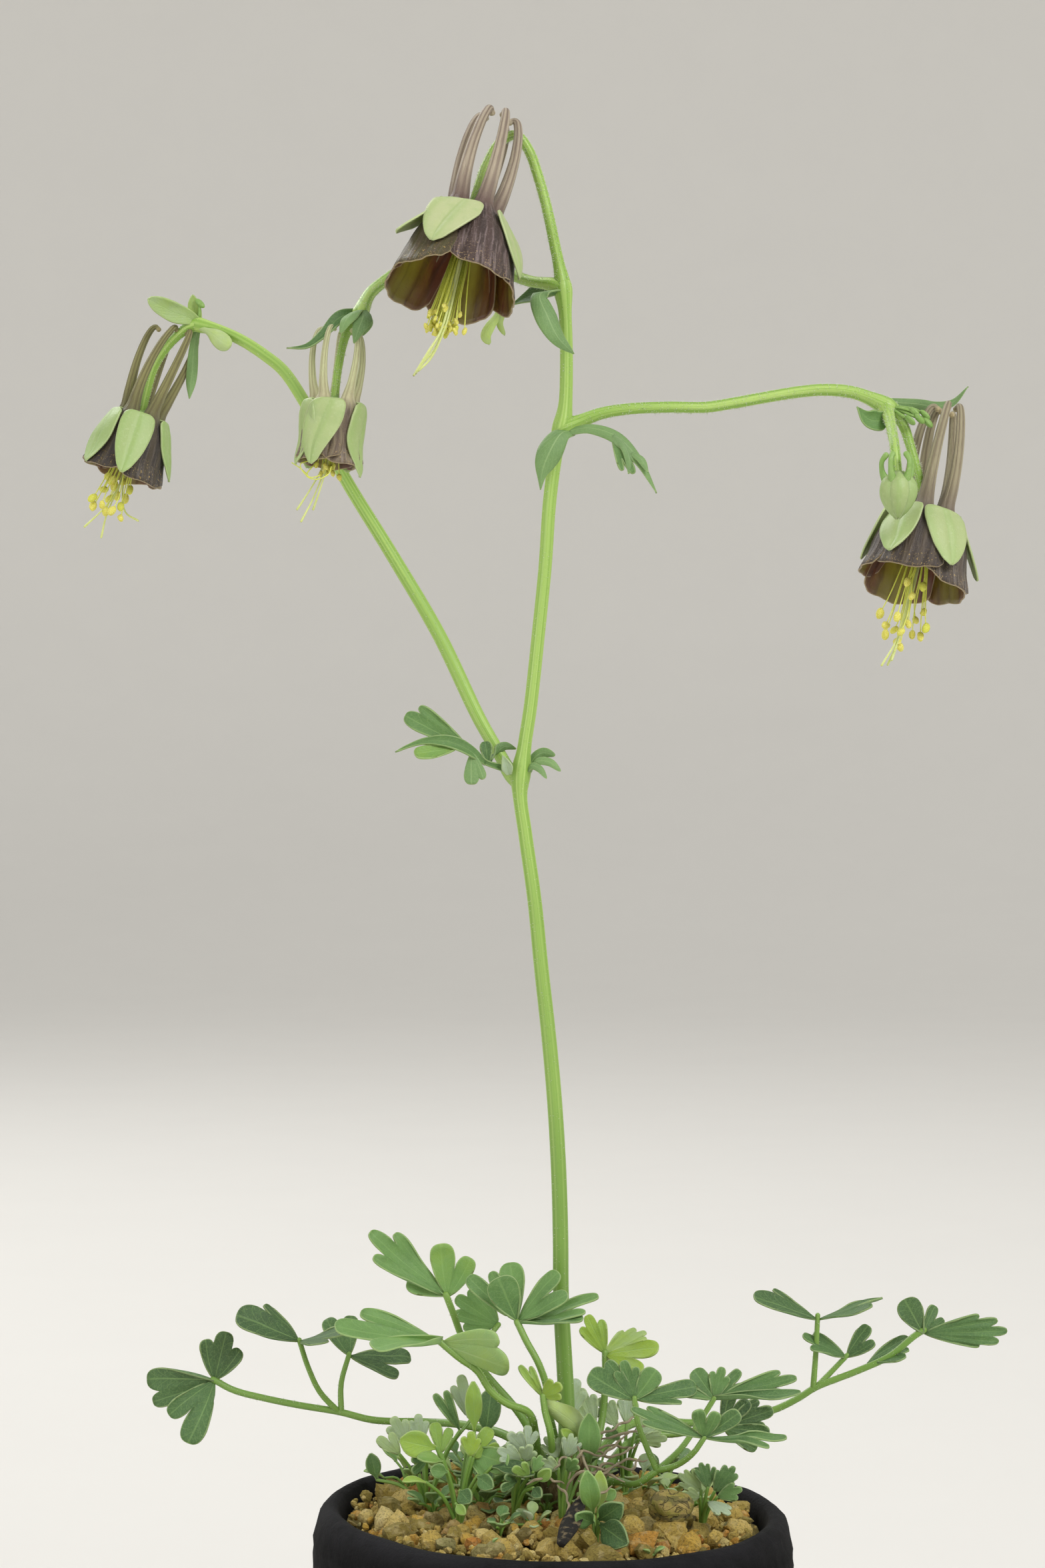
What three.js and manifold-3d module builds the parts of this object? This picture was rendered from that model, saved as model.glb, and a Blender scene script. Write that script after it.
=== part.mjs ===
// A potted columbine: a hand-made pot, soil, a gravel topping and the plant that grows in it.
// Units are millimetres, +Z is up, and the origin is the middle of the pot's resting face.
import * as THREE from 'three';
import { mergeVertices } from 'three/addons/utils/BufferGeometryUtils.js';
import Module from 'manifold-3d';

const wasm = await Module();
wasm.setup();

// ---- Driving dimensions ----
const POT_HEIGHT = 66.5;
const POT_RADIUS = 39.5;
const POT_FOOT_RADIUS = 29;
const POT_WALL = 5;
const POT_FLOOR = 7;
const RIM_RISE = 1.1; // how far the uneven rim climbs on its high side
const POT_SEGMENTS = 32;
const DRAIN_RADIUS = 3;
const DRAIN_RING = 15;
const DRAIN_COUNT = 3;
const SOIL_TOP = 55;
const GRAVEL_TOP = 64.5;
const CROWN_RADIUS = 5.2;
const CROWN_FOOT = 42;
const CROWN_TOP = 73.6;
const CROWN_AT = [2.3, 1.5];
const GAP = 0.35; // clearance between neighbouring pieces
const STALK_SIDES = 6;
const LEAF_THICKNESS = 0.8;
const SEPAL_THICKNESS = 0.5;
const PETAL_THICKNESS = 0.7;
const PETALS = 5;
const PETAL_STEP = (2 * Math.PI) / PETALS;
const SECTOR = Math.tan(0.46 * PETAL_STEP); // half of a petal's share of the bell

// Routes are given on a front drawing whose unit is DRAWN millimetres, x to the right and y
// down, seen from the eye point; a third number is the depth in millimetres behind the stem.
const DRAWN = 0.11;
const EYE = new THREE.Vector3(-5, -525, 184.7);
const DRAWING_MIDDLE = [784, 1176];

function at([x, y, depth]) {
  const reach = DRAWN * (1 - depth / EYE.y);
  return new THREE.Vector3(
    EYE.x + (x - DRAWING_MIDDLE[0]) * reach,
    depth,
    EYE.z - (y - DRAWING_MIDDLE[1]) * reach,
  );
}

// ---- Finishes ----
function finish(color, roughness) {
  return new THREE.MeshStandardMaterial({ color, roughness, metalness: 0 });
}
const FINISH = {
  pot: finish(0x17171a, 0.85),
  soil: finish(0x3a2c20, 1),
  gravel: finish(0xb59a4f, 0.95),
  stem: finish(0x8fb552, 0.6),
  leaf: finish(0x5f8648, 0.65),
  young: finish(0xa4b84a, 0.65),
  sepal: finish(0xc3d49a, 0.55),
  petal: finish(0x5b443c, 0.6),
  stamen: finish(0xd8d66a, 0.7),
  crown: finish(0x8a7a55, 0.9),
};

const plant = new THREE.Group();

function add(name, geometry, material) {
  const mesh = new THREE.Mesh(geometry, material);
  mesh.name = name;
  plant.add(mesh);
}

// ---- Solids ----
function solidOf(geometry) {
  const bare = geometry.clone();
  bare.deleteAttribute('normal');
  bare.deleteAttribute('uv');
  const merged = mergeVertices(bare, 1e-4);
  return new wasm.Manifold(new wasm.Mesh({
    numProp: 3,
    vertProperties: new Float32Array(merged.attributes.position.array),
    triVerts: new Uint32Array(merged.index.array),
  }));
}

function geometryOf(solid) {
  const mesh = solid.getMesh();
  const geometry = new THREE.BufferGeometry();
  geometry.setAttribute('position', new THREE.BufferAttribute(mesh.vertProperties, 3));
  geometry.setIndex(new THREE.BufferAttribute(mesh.triVerts, 1));
  return geometry;
}

function joined(geometries) {
  const solids = geometries.map(solidOf);
  return geometryOf(solids.reduce((sum, solid) => sum.add(solid)));
}

function cut(geometry, tools) {
  return geometryOf(tools.map(solidOf).reduce((rest, tool) => rest.subtract(tool), solidOf(geometry)));
}

function signedVolume(points, faces) {
  const cross = new THREE.Vector3();
  return faces.reduce(
    (sum, [a, b, c]) => sum + cross.crossVectors(points[a], points[b]).dot(points[c]) / 6,
    0,
  );
}

function meshOf(points, faces) {
  const outward = signedVolume(points, faces) > 0;
  const geometry = new THREE.BufferGeometry().setFromPoints(points);
  geometry.setIndex(faces.flatMap(([a, b, c]) => (outward ? [a, b, c] : [a, c, b])));
  return geometry;
}

// A skin over rings of equal count. Each end is closed across the ring, first point to last.
function loft(rings) {
  const count = rings[0].length;
  const faces = [];
  for (let row = 0; row + 1 < rings.length; row += 1) {
    for (let i = 0; i < count; i += 1) {
      const a = row * count + i;
      const b = row * count + ((i + 1) % count);
      faces.push([a, b, b + count], [a, b + count, a + count]);
    }
  }
  const last = (rings.length - 1) * count;
  for (let i = 0; i < count / 2 - 1; i += 1) {
    const j = count - 1 - i;
    const quads = [[i, i + 1, j - 1], [i, j - 1, j]].filter(([a, b, c]) => a !== b && b !== c);
    quads.forEach(([a, b, c]) => {
      faces.push([a, c, b], [last + a, last + b, last + c]);
    });
  }
  return meshOf(rings.flat(), faces);
}

function blend(values, t) {
  const place = Math.min(Math.max(t, 0), 1) * (values.length - 1);
  const step = Math.min(Math.floor(place), values.length - 2);
  return THREE.MathUtils.lerp(values[step], values[step + 1], place - step);
}

// A round rod along a smooth curve; radii are spread evenly along it.
function rod(points, radii, sides = STALK_SIDES, rows = Math.ceil(1.3 * points.length)) {
  const curve = new THREE.CatmullRomCurve3(points, false, 'centripetal');
  const frames = curve.computeFrenetFrames(rows, false);
  const rings = [];
  for (let row = 0; row <= rows; row += 1) {
    const centre = curve.getPointAt(row / rows);
    const radius = blend(radii, row / rows);
    const ring = [];
    for (let i = 0; i < sides; i += 1) {
      const angle = (2 * Math.PI * i) / sides;
      ring.push(centre.clone()
        .addScaledVector(frames.normals[row], radius * Math.cos(angle))
        .addScaledVector(frames.binormals[row], radius * Math.sin(angle)));
    }
    rings.push(ring);
  }
  return loft(rings);
}

const place = (point) => (point.isVector3 ? point : at(point));
const stalk = (route, radii) => rod(route.map(place), radii);

// A thin tongue along a curve. Its half widths are spread evenly; side is across the tongue.
function tongue(points, halfWidths, side, thickness, rows = 6) {
  const curve = new THREE.CatmullRomCurve3(points, false, 'centripetal');
  const rings = [];
  for (let row = 0; row <= rows; row += 1) {
    const centre = curve.getPointAt(row / rows);
    const along = curve.getTangentAt(row / rows);
    const across = side.clone().addScaledVector(along, -side.dot(along)).normalize();
    const up = new THREE.Vector3().crossVectors(across, along).multiplyScalar(thickness / 2);
    const half = blend(halfWidths, row / rows);
    rings.push([
      centre.clone().addScaledVector(across, -half),
      centre.clone().sub(up),
      centre.clone().addScaledVector(across, half),
      centre.clone().add(up),
    ]);
  }
  return loft(rings);
}

const bract = (route, halfWidths, side) => (
  tongue(route.map(at), halfWidths, new THREE.Vector3(...side), LEAF_THICKNESS)
);

// A leaflet: a fan from its base, with round lobes. The outline's reach at an angle is that of
// the longest lobe there, and a hub ring half way out lets the blade cup.
const FAN_ROWS_PER_LOBE = 3;
const SINUS = 0.6;
function reachOfFan(turn, lobes) {
  const width = 1 / lobes;
  const nearest = Array.from({ length: lobes }, (_, i) => -1 + width * (2 * i + 1))
    .reduce((best, lobe) => (Math.abs(turn - lobe) < Math.abs(turn - best) ? lobe : best), 9);
  const off = Math.min(Math.abs(turn - nearest) / width, 1);
  const length = 1 - 0.18 * nearest * nearest;
  return length * Math.max(Math.sqrt(1 - off ** 4), SINUS);
}

function fan(base, tip, face, spread, lobes, cup = 0.12) {
  const rows = Math.max(FAN_ROWS_PER_LOBE * lobes, 4);
  const root = at(base);
  const along = at(tip).sub(root);
  const length = along.length();
  along.normalize();
  const across = new THREE.Vector3().crossVectors(along, new THREE.Vector3(...face)).normalize();
  const up = new THREE.Vector3().crossVectors(across, along);
  const points = [];
  [1, -1].forEach((skin) => {
    const lift = (skin * LEAF_THICKNESS) / 2;
    points.push(root.clone().addScaledVector(along, -0.4).addScaledVector(up, lift));
    [0.5, 1].forEach((part) => {
      for (let i = 0; i <= rows; i += 1) {
        const turn = -1 + (2 * i) / rows;
        const reach = length * part * reachOfFan(turn, lobes);
        const angle = turn * THREE.MathUtils.degToRad(spread);
        const edge = reach * Math.sin(angle);
        points.push(root.clone()
          .addScaledVector(along, reach * Math.cos(angle))
          .addScaledVector(across, edge)
          .addScaledVector(up, lift + (cup * edge * edge) / length));
      }
    });
  });
  const row = rows + 1;
  const skin = 1 + 2 * row;
  const faces = [];
  for (let i = 0; i < rows; i += 1) {
    const near = 1 + i;
    const far = near + row;
    faces.push([0, near, near + 1], [near, far, far + 1], [near, far + 1, near + 1]);
    faces.push([skin, skin + near + 1, skin + near]);
    faces.push([skin + near, skin + far + 1, skin + far], [skin + near, skin + near + 1, skin + far + 1]);
    faces.push([far, skin + far, skin + far + 1], [far, skin + far + 1, far + 1]);
  }
  const edges = [[0, 1], [1, 1 + row], [2 * row, row], [row, 0]];
  edges.forEach(([a, b]) => faces.push([a, skin + a, skin + b], [a, skin + b, b]));
  return meshOf(points, faces);
}

// ---- Pot, soil and gravel ----
function lathe(profile) {
  const points = profile.map(([radius, z]) => new THREE.Vector2(radius, z));
  return new THREE.LatheGeometry(points, POT_SEGMENTS).rotateX(Math.PI / 2);
}

function unevenRim(geometry) {
  const position = geometry.attributes.position;
  for (let i = 0; i < position.count; i += 1) {
    const share = Math.max(position.getZ(i) - POT_FLOOR, 0) / (POT_HEIGHT - POT_FLOOR);
    position.setZ(i, position.getZ(i) - (RIM_RISE * share * position.getX(i)) / POT_RADIUS);
  }
  return geometry;
}

const innerRadius = POT_RADIUS - POT_WALL;
const innerFoot = POT_FOOT_RADIUS - 3;
const potWall = lathe([
  [0, 0], [POT_FOOT_RADIUS, 0], [POT_FOOT_RADIUS + 2, 1.5], [33.5, 14], [36.6, 32],
  [39, 50], [POT_RADIUS, 59], [POT_RADIUS - 0.3, 63.5], [POT_RADIUS - 1.6, POT_HEIGHT - 0.3],
  [POT_RADIUS - 3.4, POT_HEIGHT], [innerRadius + 0.2, POT_HEIGHT - 1.6], [innerRadius, 60],
  [33, 48], [31, 28], [innerFoot, POT_FLOOR], [0, POT_FLOOR],
]);
const drains = Array.from({ length: DRAIN_COUNT }, (_, i) => {
  const angle = (2 * Math.PI * (i + 0.25)) / DRAIN_COUNT;
  return new THREE.CylinderGeometry(DRAIN_RADIUS, DRAIN_RADIUS, 3 * POT_FLOOR, 14)
    .rotateX(Math.PI / 2)
    .translate(DRAIN_RING * Math.cos(angle), DRAIN_RING * Math.sin(angle), 0);
});
add('pot', unevenRim(cut(potWall, drains)), FINISH.pot);

const crownPocket = new THREE.CylinderGeometry(CROWN_RADIUS + GAP, CROWN_RADIUS + GAP, 60, 20)
  .rotateX(Math.PI / 2)
  .translate(...CROWN_AT, CROWN_FOOT + 30 - GAP);
const soil = lathe([
  [0, POT_FLOOR + GAP], [innerFoot - GAP, POT_FLOOR + GAP], [31 - GAP, 28],
  [33 - GAP, 48], [33.9 - GAP, SOIL_TOP], [0, SOIL_TOP],
]);
add('soil', unevenRim(cut(soil, [crownPocket])), FINISH.soil);

const gravel = lathe([
  [0, SOIL_TOP + GAP], [33.5, SOIL_TOP + GAP], [innerRadius - GAP - 0.15, 60],
  [innerRadius - GAP - 0.1, GRAVEL_TOP - 1.2], [30, GRAVEL_TOP], [14, GRAVEL_TOP + 1.2], [0, GRAVEL_TOP + 1.4],
]);
add('gravel', unevenRim(cut(gravel, [crownPocket])), FINISH.gravel);

const STONE_AT = [1012, 2236, -14];
const STONE_HALF_SIZE = [3.6, 2.9, 2.6];
const stone = new THREE.IcosahedronGeometry(1, 1).scale(...STONE_HALF_SIZE);
stone.translate(...at(STONE_AT).setZ(GRAVEL_TOP + STONE_HALF_SIZE[2] + GAP / 2).toArray());
add('large_stone', joined([stone]), FINISH.gravel);

// ---- Crown and stems ----
const crown = new THREE.LatheGeometry([
  [0, CROWN_FOOT], [1.6, CROWN_FOOT], [3.4, 52], [CROWN_RADIUS, 62], [CROWN_RADIUS, 69],
  [3.6, CROWN_TOP - 1], [2.4, CROWN_TOP], [0, CROWN_TOP],
].map(([radius, z]) => new THREE.Vector2(radius, z)), 14);
add('crown', crown.rotateX(Math.PI / 2).translate(...CROWN_AT, 0), FINISH.crown);

const STEMS = {
  main_stem: [[
    [850, 2179, 1.5], [850, 2110, 2], [842, 1950, 1], [841, 1850, 0], [838, 1750, 0],
    [832, 1650, 0], [823, 1550, 0], [812, 1450, 0], [802, 1350, 0], [788, 1250, 0],
    [780, 1185, 0], [787, 1120, 0], [796, 1060, 0], [808, 950, 0], [818, 850, 0],
    [825, 750, 0], [836, 670, 0], [847, 620, 0], [850, 550, 0], [848, 470, 0], [844, 434, 0],
  ], [1.35, 1.3, 1.25, 1.15, 1.1, 1.05]],
  top_stalk: [[
    [843, 428, 0], [835, 380, 0], [820, 310, 0], [806, 260, 2], [793, 225, 3.5], [775, 203, 3.8],
    [752, 212, 2.8], [728, 248, 1], [713, 290, -2], [707, 310, -3.6],
  ], [0.85, 0.8, 0.65, 0.6]],
  left_branch: [[
    [764, 1160, 1], [750, 1132, 2], [720, 1080, 4], [659, 953, 8], [588, 832, 12],
    [518, 718, 16], [455, 600, 20], [425, 556, 21.5], [400, 535, 22], [365, 512, 23],
    [330, 496, 24], [298, 487, 25],
  ], [1.15, 1.15, 1.05, 0.85]],
  left_stalk: [[
    [290, 492, 25], [264, 506, 25], [245, 528, 25], [230, 555, 25], [220, 590, 25], [214, 613, 25],
  ], [0.6, 0.55]],
  upper_branch: [[
    [828, 427, 0.5], [800, 423, 3], [785, 419, 5], [740, 402, 10], [690, 393, 13],
    [640, 396, 12], [600, 407, 9], [570, 427, 6], [553, 444, 3], [540, 472, 0],
  ], [1, 0.95, 0.95, 0.9]],
  upper_stalk: [[[536, 483, 0], [520, 500, 0], [508, 550, 0], [502, 595, -1]], [0.7, 0.6]],
  right_branch: [[
    [865, 635, 0], [900, 621, 0], [940, 614, 0], [1000, 611, 0], [1060, 611, 0],
    [1100, 605, 0], [1150, 596, 0], [1200, 588, 0], [1240, 585, -0.5], [1280, 589, -1],
    [1310, 600, -1.5], [1328, 610, -2],
  ], [1, 0.95, 0.95, 0.85]],
  right_stalk: [[
    [1338, 613, -1.3], [1356, 640, -2.4], [1366, 670, -3.8], [1376, 705, -4.6], [1390, 738, -4.2],
    [1398, 757, -3.4],
  ], [0.75, 0.65, 0.6]],
  bud_stalk: [[
    [1332, 621, -3.6], [1338, 645, -8], [1343, 675, -12.4], [1346, 703, -13.8],
  ], [0.7, 0.6]],
};
Object.entries(STEMS).forEach(([name, [route, radii]]) => {
  add(name, stalk(route, radii), FINISH.stem);
});

// ---- Flowers ----
// Each hangs from its receptacle. lean is the tilt of the mouth to the left, nod its tilt to the
// front, turn the angle of the first petal from the front; spurs twist by the listed angles.
const FLOWERS = {
  top: {
    place: [706, 319, -4], lean: 18, nod: 19, turn: -45, twist: [13, -7, -14, -21, 17],
    spur: 18.6, blade: 14.5, mouth: 10, girth: 1, sepal: 11.5, open: 44, style: 31, anthers: 21,
  },
  upper: {
    place: [502, 604, -1], lean: 5, nod: 3, turn: -30, twist: [0, 0, 0, 0, 0],
    spur: 11.6, blade: 10.6, mouth: 5, girth: 0.72, sepal: 11, open: 4, style: 19, anthers: 11,
  },
  left: {
    place: [212, 624, 25], lean: 17, nod: 4, turn: -30, twist: [0, -8, -8, 0, 0],
    spur: 16, blade: 10.5, mouth: 7, girth: 0.86, sepal: 11, open: 22, style: 20, anthers: 16,
  },
  right: {
    place: [1401, 769, -3], lean: 13, nod: 9, turn: -20, twist: [6, -28, 36, 20, -16],
    spur: 18.4, blade: 12.4, mouth: 9, girth: 1, sepal: 11.5, open: 36, style: 26.5, anthers: 20,
  },
};

// The flower's own frame has z from the mouth to the spurs and y to the back.
function flowerFrame({ place, lean, nod }) {
  const turn = new THREE.Euler(
    -THREE.MathUtils.degToRad(nod),
    THREE.MathUtils.degToRad(lean),
    0,
    'ZYX',
  );
  return new THREE.Matrix4().makeRotationFromEuler(turn).setPosition(at(place));
}

// A point of the flower: radius from the axis, angle from the front to the right, and height.
function polar(frame, radius, angle, height) {
  return new THREE.Vector3(radius * Math.sin(angle), -radius * Math.cos(angle), height)
    .applyMatrix4(frame);
}

// A petal is a slender spur that widens to a funnel and opens into one blade of the bell.
// Rows give the centre's radius and height, then the half depth and half width of the section.
// A ring starts at one edge of the blade, runs round its outside and comes back on its inside.
const PETAL_RING = 8;
const BLADE_HALF_ANGLE = THREE.MathUtils.degToRad(78);
function petalRows({ spur, blade, mouth, girth }) {
  return [
    [2.3, 0.93 * spur, 0.4, 0.4], [2.9, 0.98 * spur, 0.42, 0.42], [3.8, 0.95 * spur, 0.5, 0.5],
    [4.8, 0.8 * spur, 0.7, 0.7], [5.1, 0.5 * spur, 0.95, 0.95], [4.6, 0.2 * spur, 1.35, 1.35],
    [4.35, 0.4, 1.7, 1.65], [4.4, -0.25 * blade, 2.3, 2.7], [4.8, -0.6 * blade, 2.8, 3.9],
    [mouth / girth - 3.2, -blade, 3.2, 4.8],
  ].map(([radius, height, deep, wide]) => [radius * girth, height, deep * girth, wide * girth]);
}

function petal(flower, index) {
  const frame = flowerFrame(flower);
  const middle = THREE.MathUtils.degToRad(flower.turn) + index * PETAL_STEP;
  const twist = THREE.MathUtils.degToRad(flower.twist[index]);
  const rows = petalRows(flower);
  const rings = rows.map(([radius, height, deep, wide], row) => {
    const opened = THREE.MathUtils.clamp(-height / (0.25 * flower.blade), 0, 1);
    const [above, below] = [rows[Math.max(row - 1, 0)], rows[Math.min(row + 1, rows.length - 1)]];
    const across = new THREE.Vector2(above[1] - below[1], below[0] - above[0]).normalize();
    if (opened > 0) across.set(1, 0);
    const rise = Math.max(height, 0) / flower.spur;
    const ring = [];
    for (let i = 0; i < PETAL_RING; i += 1) {
      const turned = (2 * Math.PI * (i + 0.5)) / PETAL_RING - Math.PI / 2;
      const round = Math.atan2(Math.sin(turned), Math.cos(turned));
      const inner = Math.abs(round) > Math.PI / 2;
      const fold = inner ? Math.sign(round) * (Math.PI - Math.abs(round)) : round;
      const widest = Math.PI / 2 - Math.PI / PETAL_RING;
      const angle = THREE.MathUtils.lerp(round, (fold * BLADE_HALF_ANGLE) / widest, opened);
      const skin = inner ? opened * PETAL_THICKNESS : 0;
      const away = (deep - skin) * Math.cos(angle);
      const out = radius + away * across.x;
      const limit = Math.max(out * SECTOR - GAP / 2, 0);
      const aside = (wide - skin) * Math.sin(angle);
      const kept = opened > 0 ? THREE.MathUtils.clamp(aside, -limit, limit) : aside;
      const swing = middle + twist * rise + Math.atan2(kept, out);
      ring.push(polar(frame, Math.hypot(out, kept), swing, height + away * across.y));
    }
    return ring;
  });
  return loft(rings);
}

// The calyx: a disc that carries five sepals, which pass between the spurs and hang outside.
function calyx(flower) {
  const frame = flowerFrame(flower);
  const { girth, open, sepal } = flower;
  const disc = new THREE.CylinderGeometry(1.9 * girth, 1.6 * girth, 1.1, 10)
    .rotateX(Math.PI / 2)
    .applyMatrix4(frame);
  const fall = THREE.MathUtils.degToRad(open);
  const shoulder = [6.9 * girth, 0.1];
  const length = sepal - 4.4 * girth;
  const path = [[1.2 * girth, 0], [3.8 * girth, 0.8], shoulder];
  [0.35, 0.7, 1].forEach((part) => {
    const swing = fall + 0.35 * (1 - part);
    const run = part * length;
    path.push([shoulder[0] + run * Math.sin(swing), shoulder[1] - run * Math.cos(swing)]);
  });
  const sepals = Array.from({ length: PETALS }, (_, i) => {
    const angle = THREE.MathUtils.degToRad(flower.turn) + (i + 0.5) * PETAL_STEP;
    const side = polar(frame, 1, angle + Math.PI / 2, 0).sub(polar(frame, 0, 0, 0));
    const points = path.map(([radius, height]) => polar(frame, radius, angle, height));
    return tongue(points, [0.6, 0.6, 0.62, 2.4, 3.3, 2.2, 0.3].map((w) => w * girth), side, SEPAL_THICKNESS, 7);
  });
  return joined([disc, ...sepals]);
}

// Stamens and styles stand as one slim column with a head of anthers, then the styles.
function column(flower) {
  const frame = flowerFrame(flower);
  const { anthers, style } = flower;
  const spine = [-0.9, -0.5 * anthers, -0.86 * anthers, -anthers, -1.12 * anthers, -style];
  const radii = [1.1, 1.2, 1.7, 2.3, 0.6, 0.35];
  const rings = spine.map((height, row) => (
    Array.from({ length: 8 }, (_, i) => polar(frame, radii[row], (Math.PI * i) / 4, height))
  ));
  return loft(rings);
}

Object.entries(FLOWERS).forEach(([name, flower]) => {
  add(`${name}_flower_calyx`, calyx(flower), FINISH.sepal);
  for (let i = 0; i < PETALS; i += 1) {
    add(`${name}_flower_petal_${i + 1}`, petal(flower, i), FINISH.petal);
  }
  add(`${name}_flower_stamens`, column(flower), FINISH.stamen);
});

// ---- Bud ----
const BUD_AT = [1347, 745, -13.8];
const BUD_LENGTH = 7.4;
const BUD_RADIUS = 3.1;
const budBody = new THREE.LatheGeometry([
  [0, -0.5], [0.4, -0.4], [0.85, -0.2], [1, 0.05], [0.8, 0.3], [0.45, 0.47], [0, 0.5],
].map(([radius, z]) => new THREE.Vector2(radius * BUD_RADIUS, z * BUD_LENGTH)), 10);
const budSpurs = Array.from({ length: PETALS }, (_, i) => {
  const angle = (i + 0.3) * PETAL_STEP;
  const [x, y] = [Math.sin(angle), -Math.cos(angle)];
  return rod([
    new THREE.Vector3(1.9 * x, 1.9 * y, 0.3 * BUD_LENGTH),
    new THREE.Vector3(2.2 * x, 2.2 * y, 0.62 * BUD_LENGTH),
    new THREE.Vector3(2 * x, 2 * y, 0.86 * BUD_LENGTH),
  ], [0.7, 0.6, 0.5], 6, 3);
});
const bud = joined([budBody.rotateX(Math.PI / 2), ...budSpurs]);
bud.translate(...at(BUD_AT).toArray());
add('bud', bud, FINISH.sepal);

// ---- Leaves on the stems ----
const FRONT = [0, -1, 0.1];
const UP = [0, -0.35, 1];
const stemLeaves = {
  low_node_leaf: [
    bract([[760, 1144, -0.7], [740, 1130, -3], [700, 1112, -4], [655, 1090, -4], [607, 1070, -4]],
      [0.6, 0.9, 1.4, 1.6, 1.2, 0.2], [0.3, 0, 1]),
    bract([[759, 1145, -1.2], [735, 1136, -5], [700, 1122, -7], [650, 1112, -8], [592, 1128, -9]],
      [0.6, 0.9, 1.2, 1.6, 1.3, 0.2], [0, 0.7, 0.7]),
    bract([[759, 1145, -1], [735, 1138, -4], [725, 1152, -6], [716, 1172, -6]],
      [0.6, 0.9, 1.5, 1.3, 0.3], [1, 0, 0]),
  ],
  middle_node_leaf: [
    bract([[862, 651, -1.5], [842, 652, -3], [826, 678, -4], [818, 705, -4], [810, 735, -4]],
      [0.7, 1, 1.6, 1.7, 1.2, 0.2], [1, 0, -0.3]),
    bract([[855, 652, -2], [885, 645, -3], [925, 658, -4], [960, 695, -5], [985, 740, -5]],
      [0.6, 0.8, 1, 1, 0.8, 0.2], [0.3, 0.3, 1]),
  ],
  top_node_leaf: [
    bract([[833, 446, -1], [817, 445, -3], [822, 478, -5], [838, 508, -5], [861, 528, -4]],
      [0.5, 1, 1.7, 1.9, 1.2, 0.2], [1, 0, 0.3]),
  ],
  upper_node_leaf: [
    bract([[522, 466, 0], [505, 478, -2], [482, 504, -4], [460, 519, -5], [432, 523, -5.5]],
      [0.6, 0.9, 0.9, 0.7, 0.5, 0.15], [0, 0.5, 1]),
  ],
  left_node_leaf: [
    bract([[305, 473, 25], [285, 475, 24], [262, 468, 23], [242, 458, 22], [222, 447, 21]],
      [0.6, 0.9, 1.3, 1.4, 1.1, 0.2], [0.4, 0, 1]),
    bract([[300, 475, 25], [293, 462, 25], [290, 442, 25]],
      [0.6, 0.9, 0.9, 0.3], [1, 0, 0]),
  ],
  right_node_leaf: [
    bract([[1319, 618, -3.8], [1312, 634, -5], [1299, 632, -5.6], [1286, 609, -6]],
      [0.4, 1.1, 1.5, 1.1, 0.2], [0.3, 0.3, -1]),
  ],
  right_node_bract: [
    bract([[1344, 602, -1], [1375, 606, 1], [1405, 610, 6], [1430, 604, 7], [1453, 581, 7]],
      [0.6, 0.6, 0.7, 0.7, 0.6, 0.2], [0.2, 0.3, 1]),
  ],
};
Object.entries(stemLeaves).forEach(([name, pieces]) => {
  add(name, joined(pieces), FINISH.leaf);
});

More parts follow.
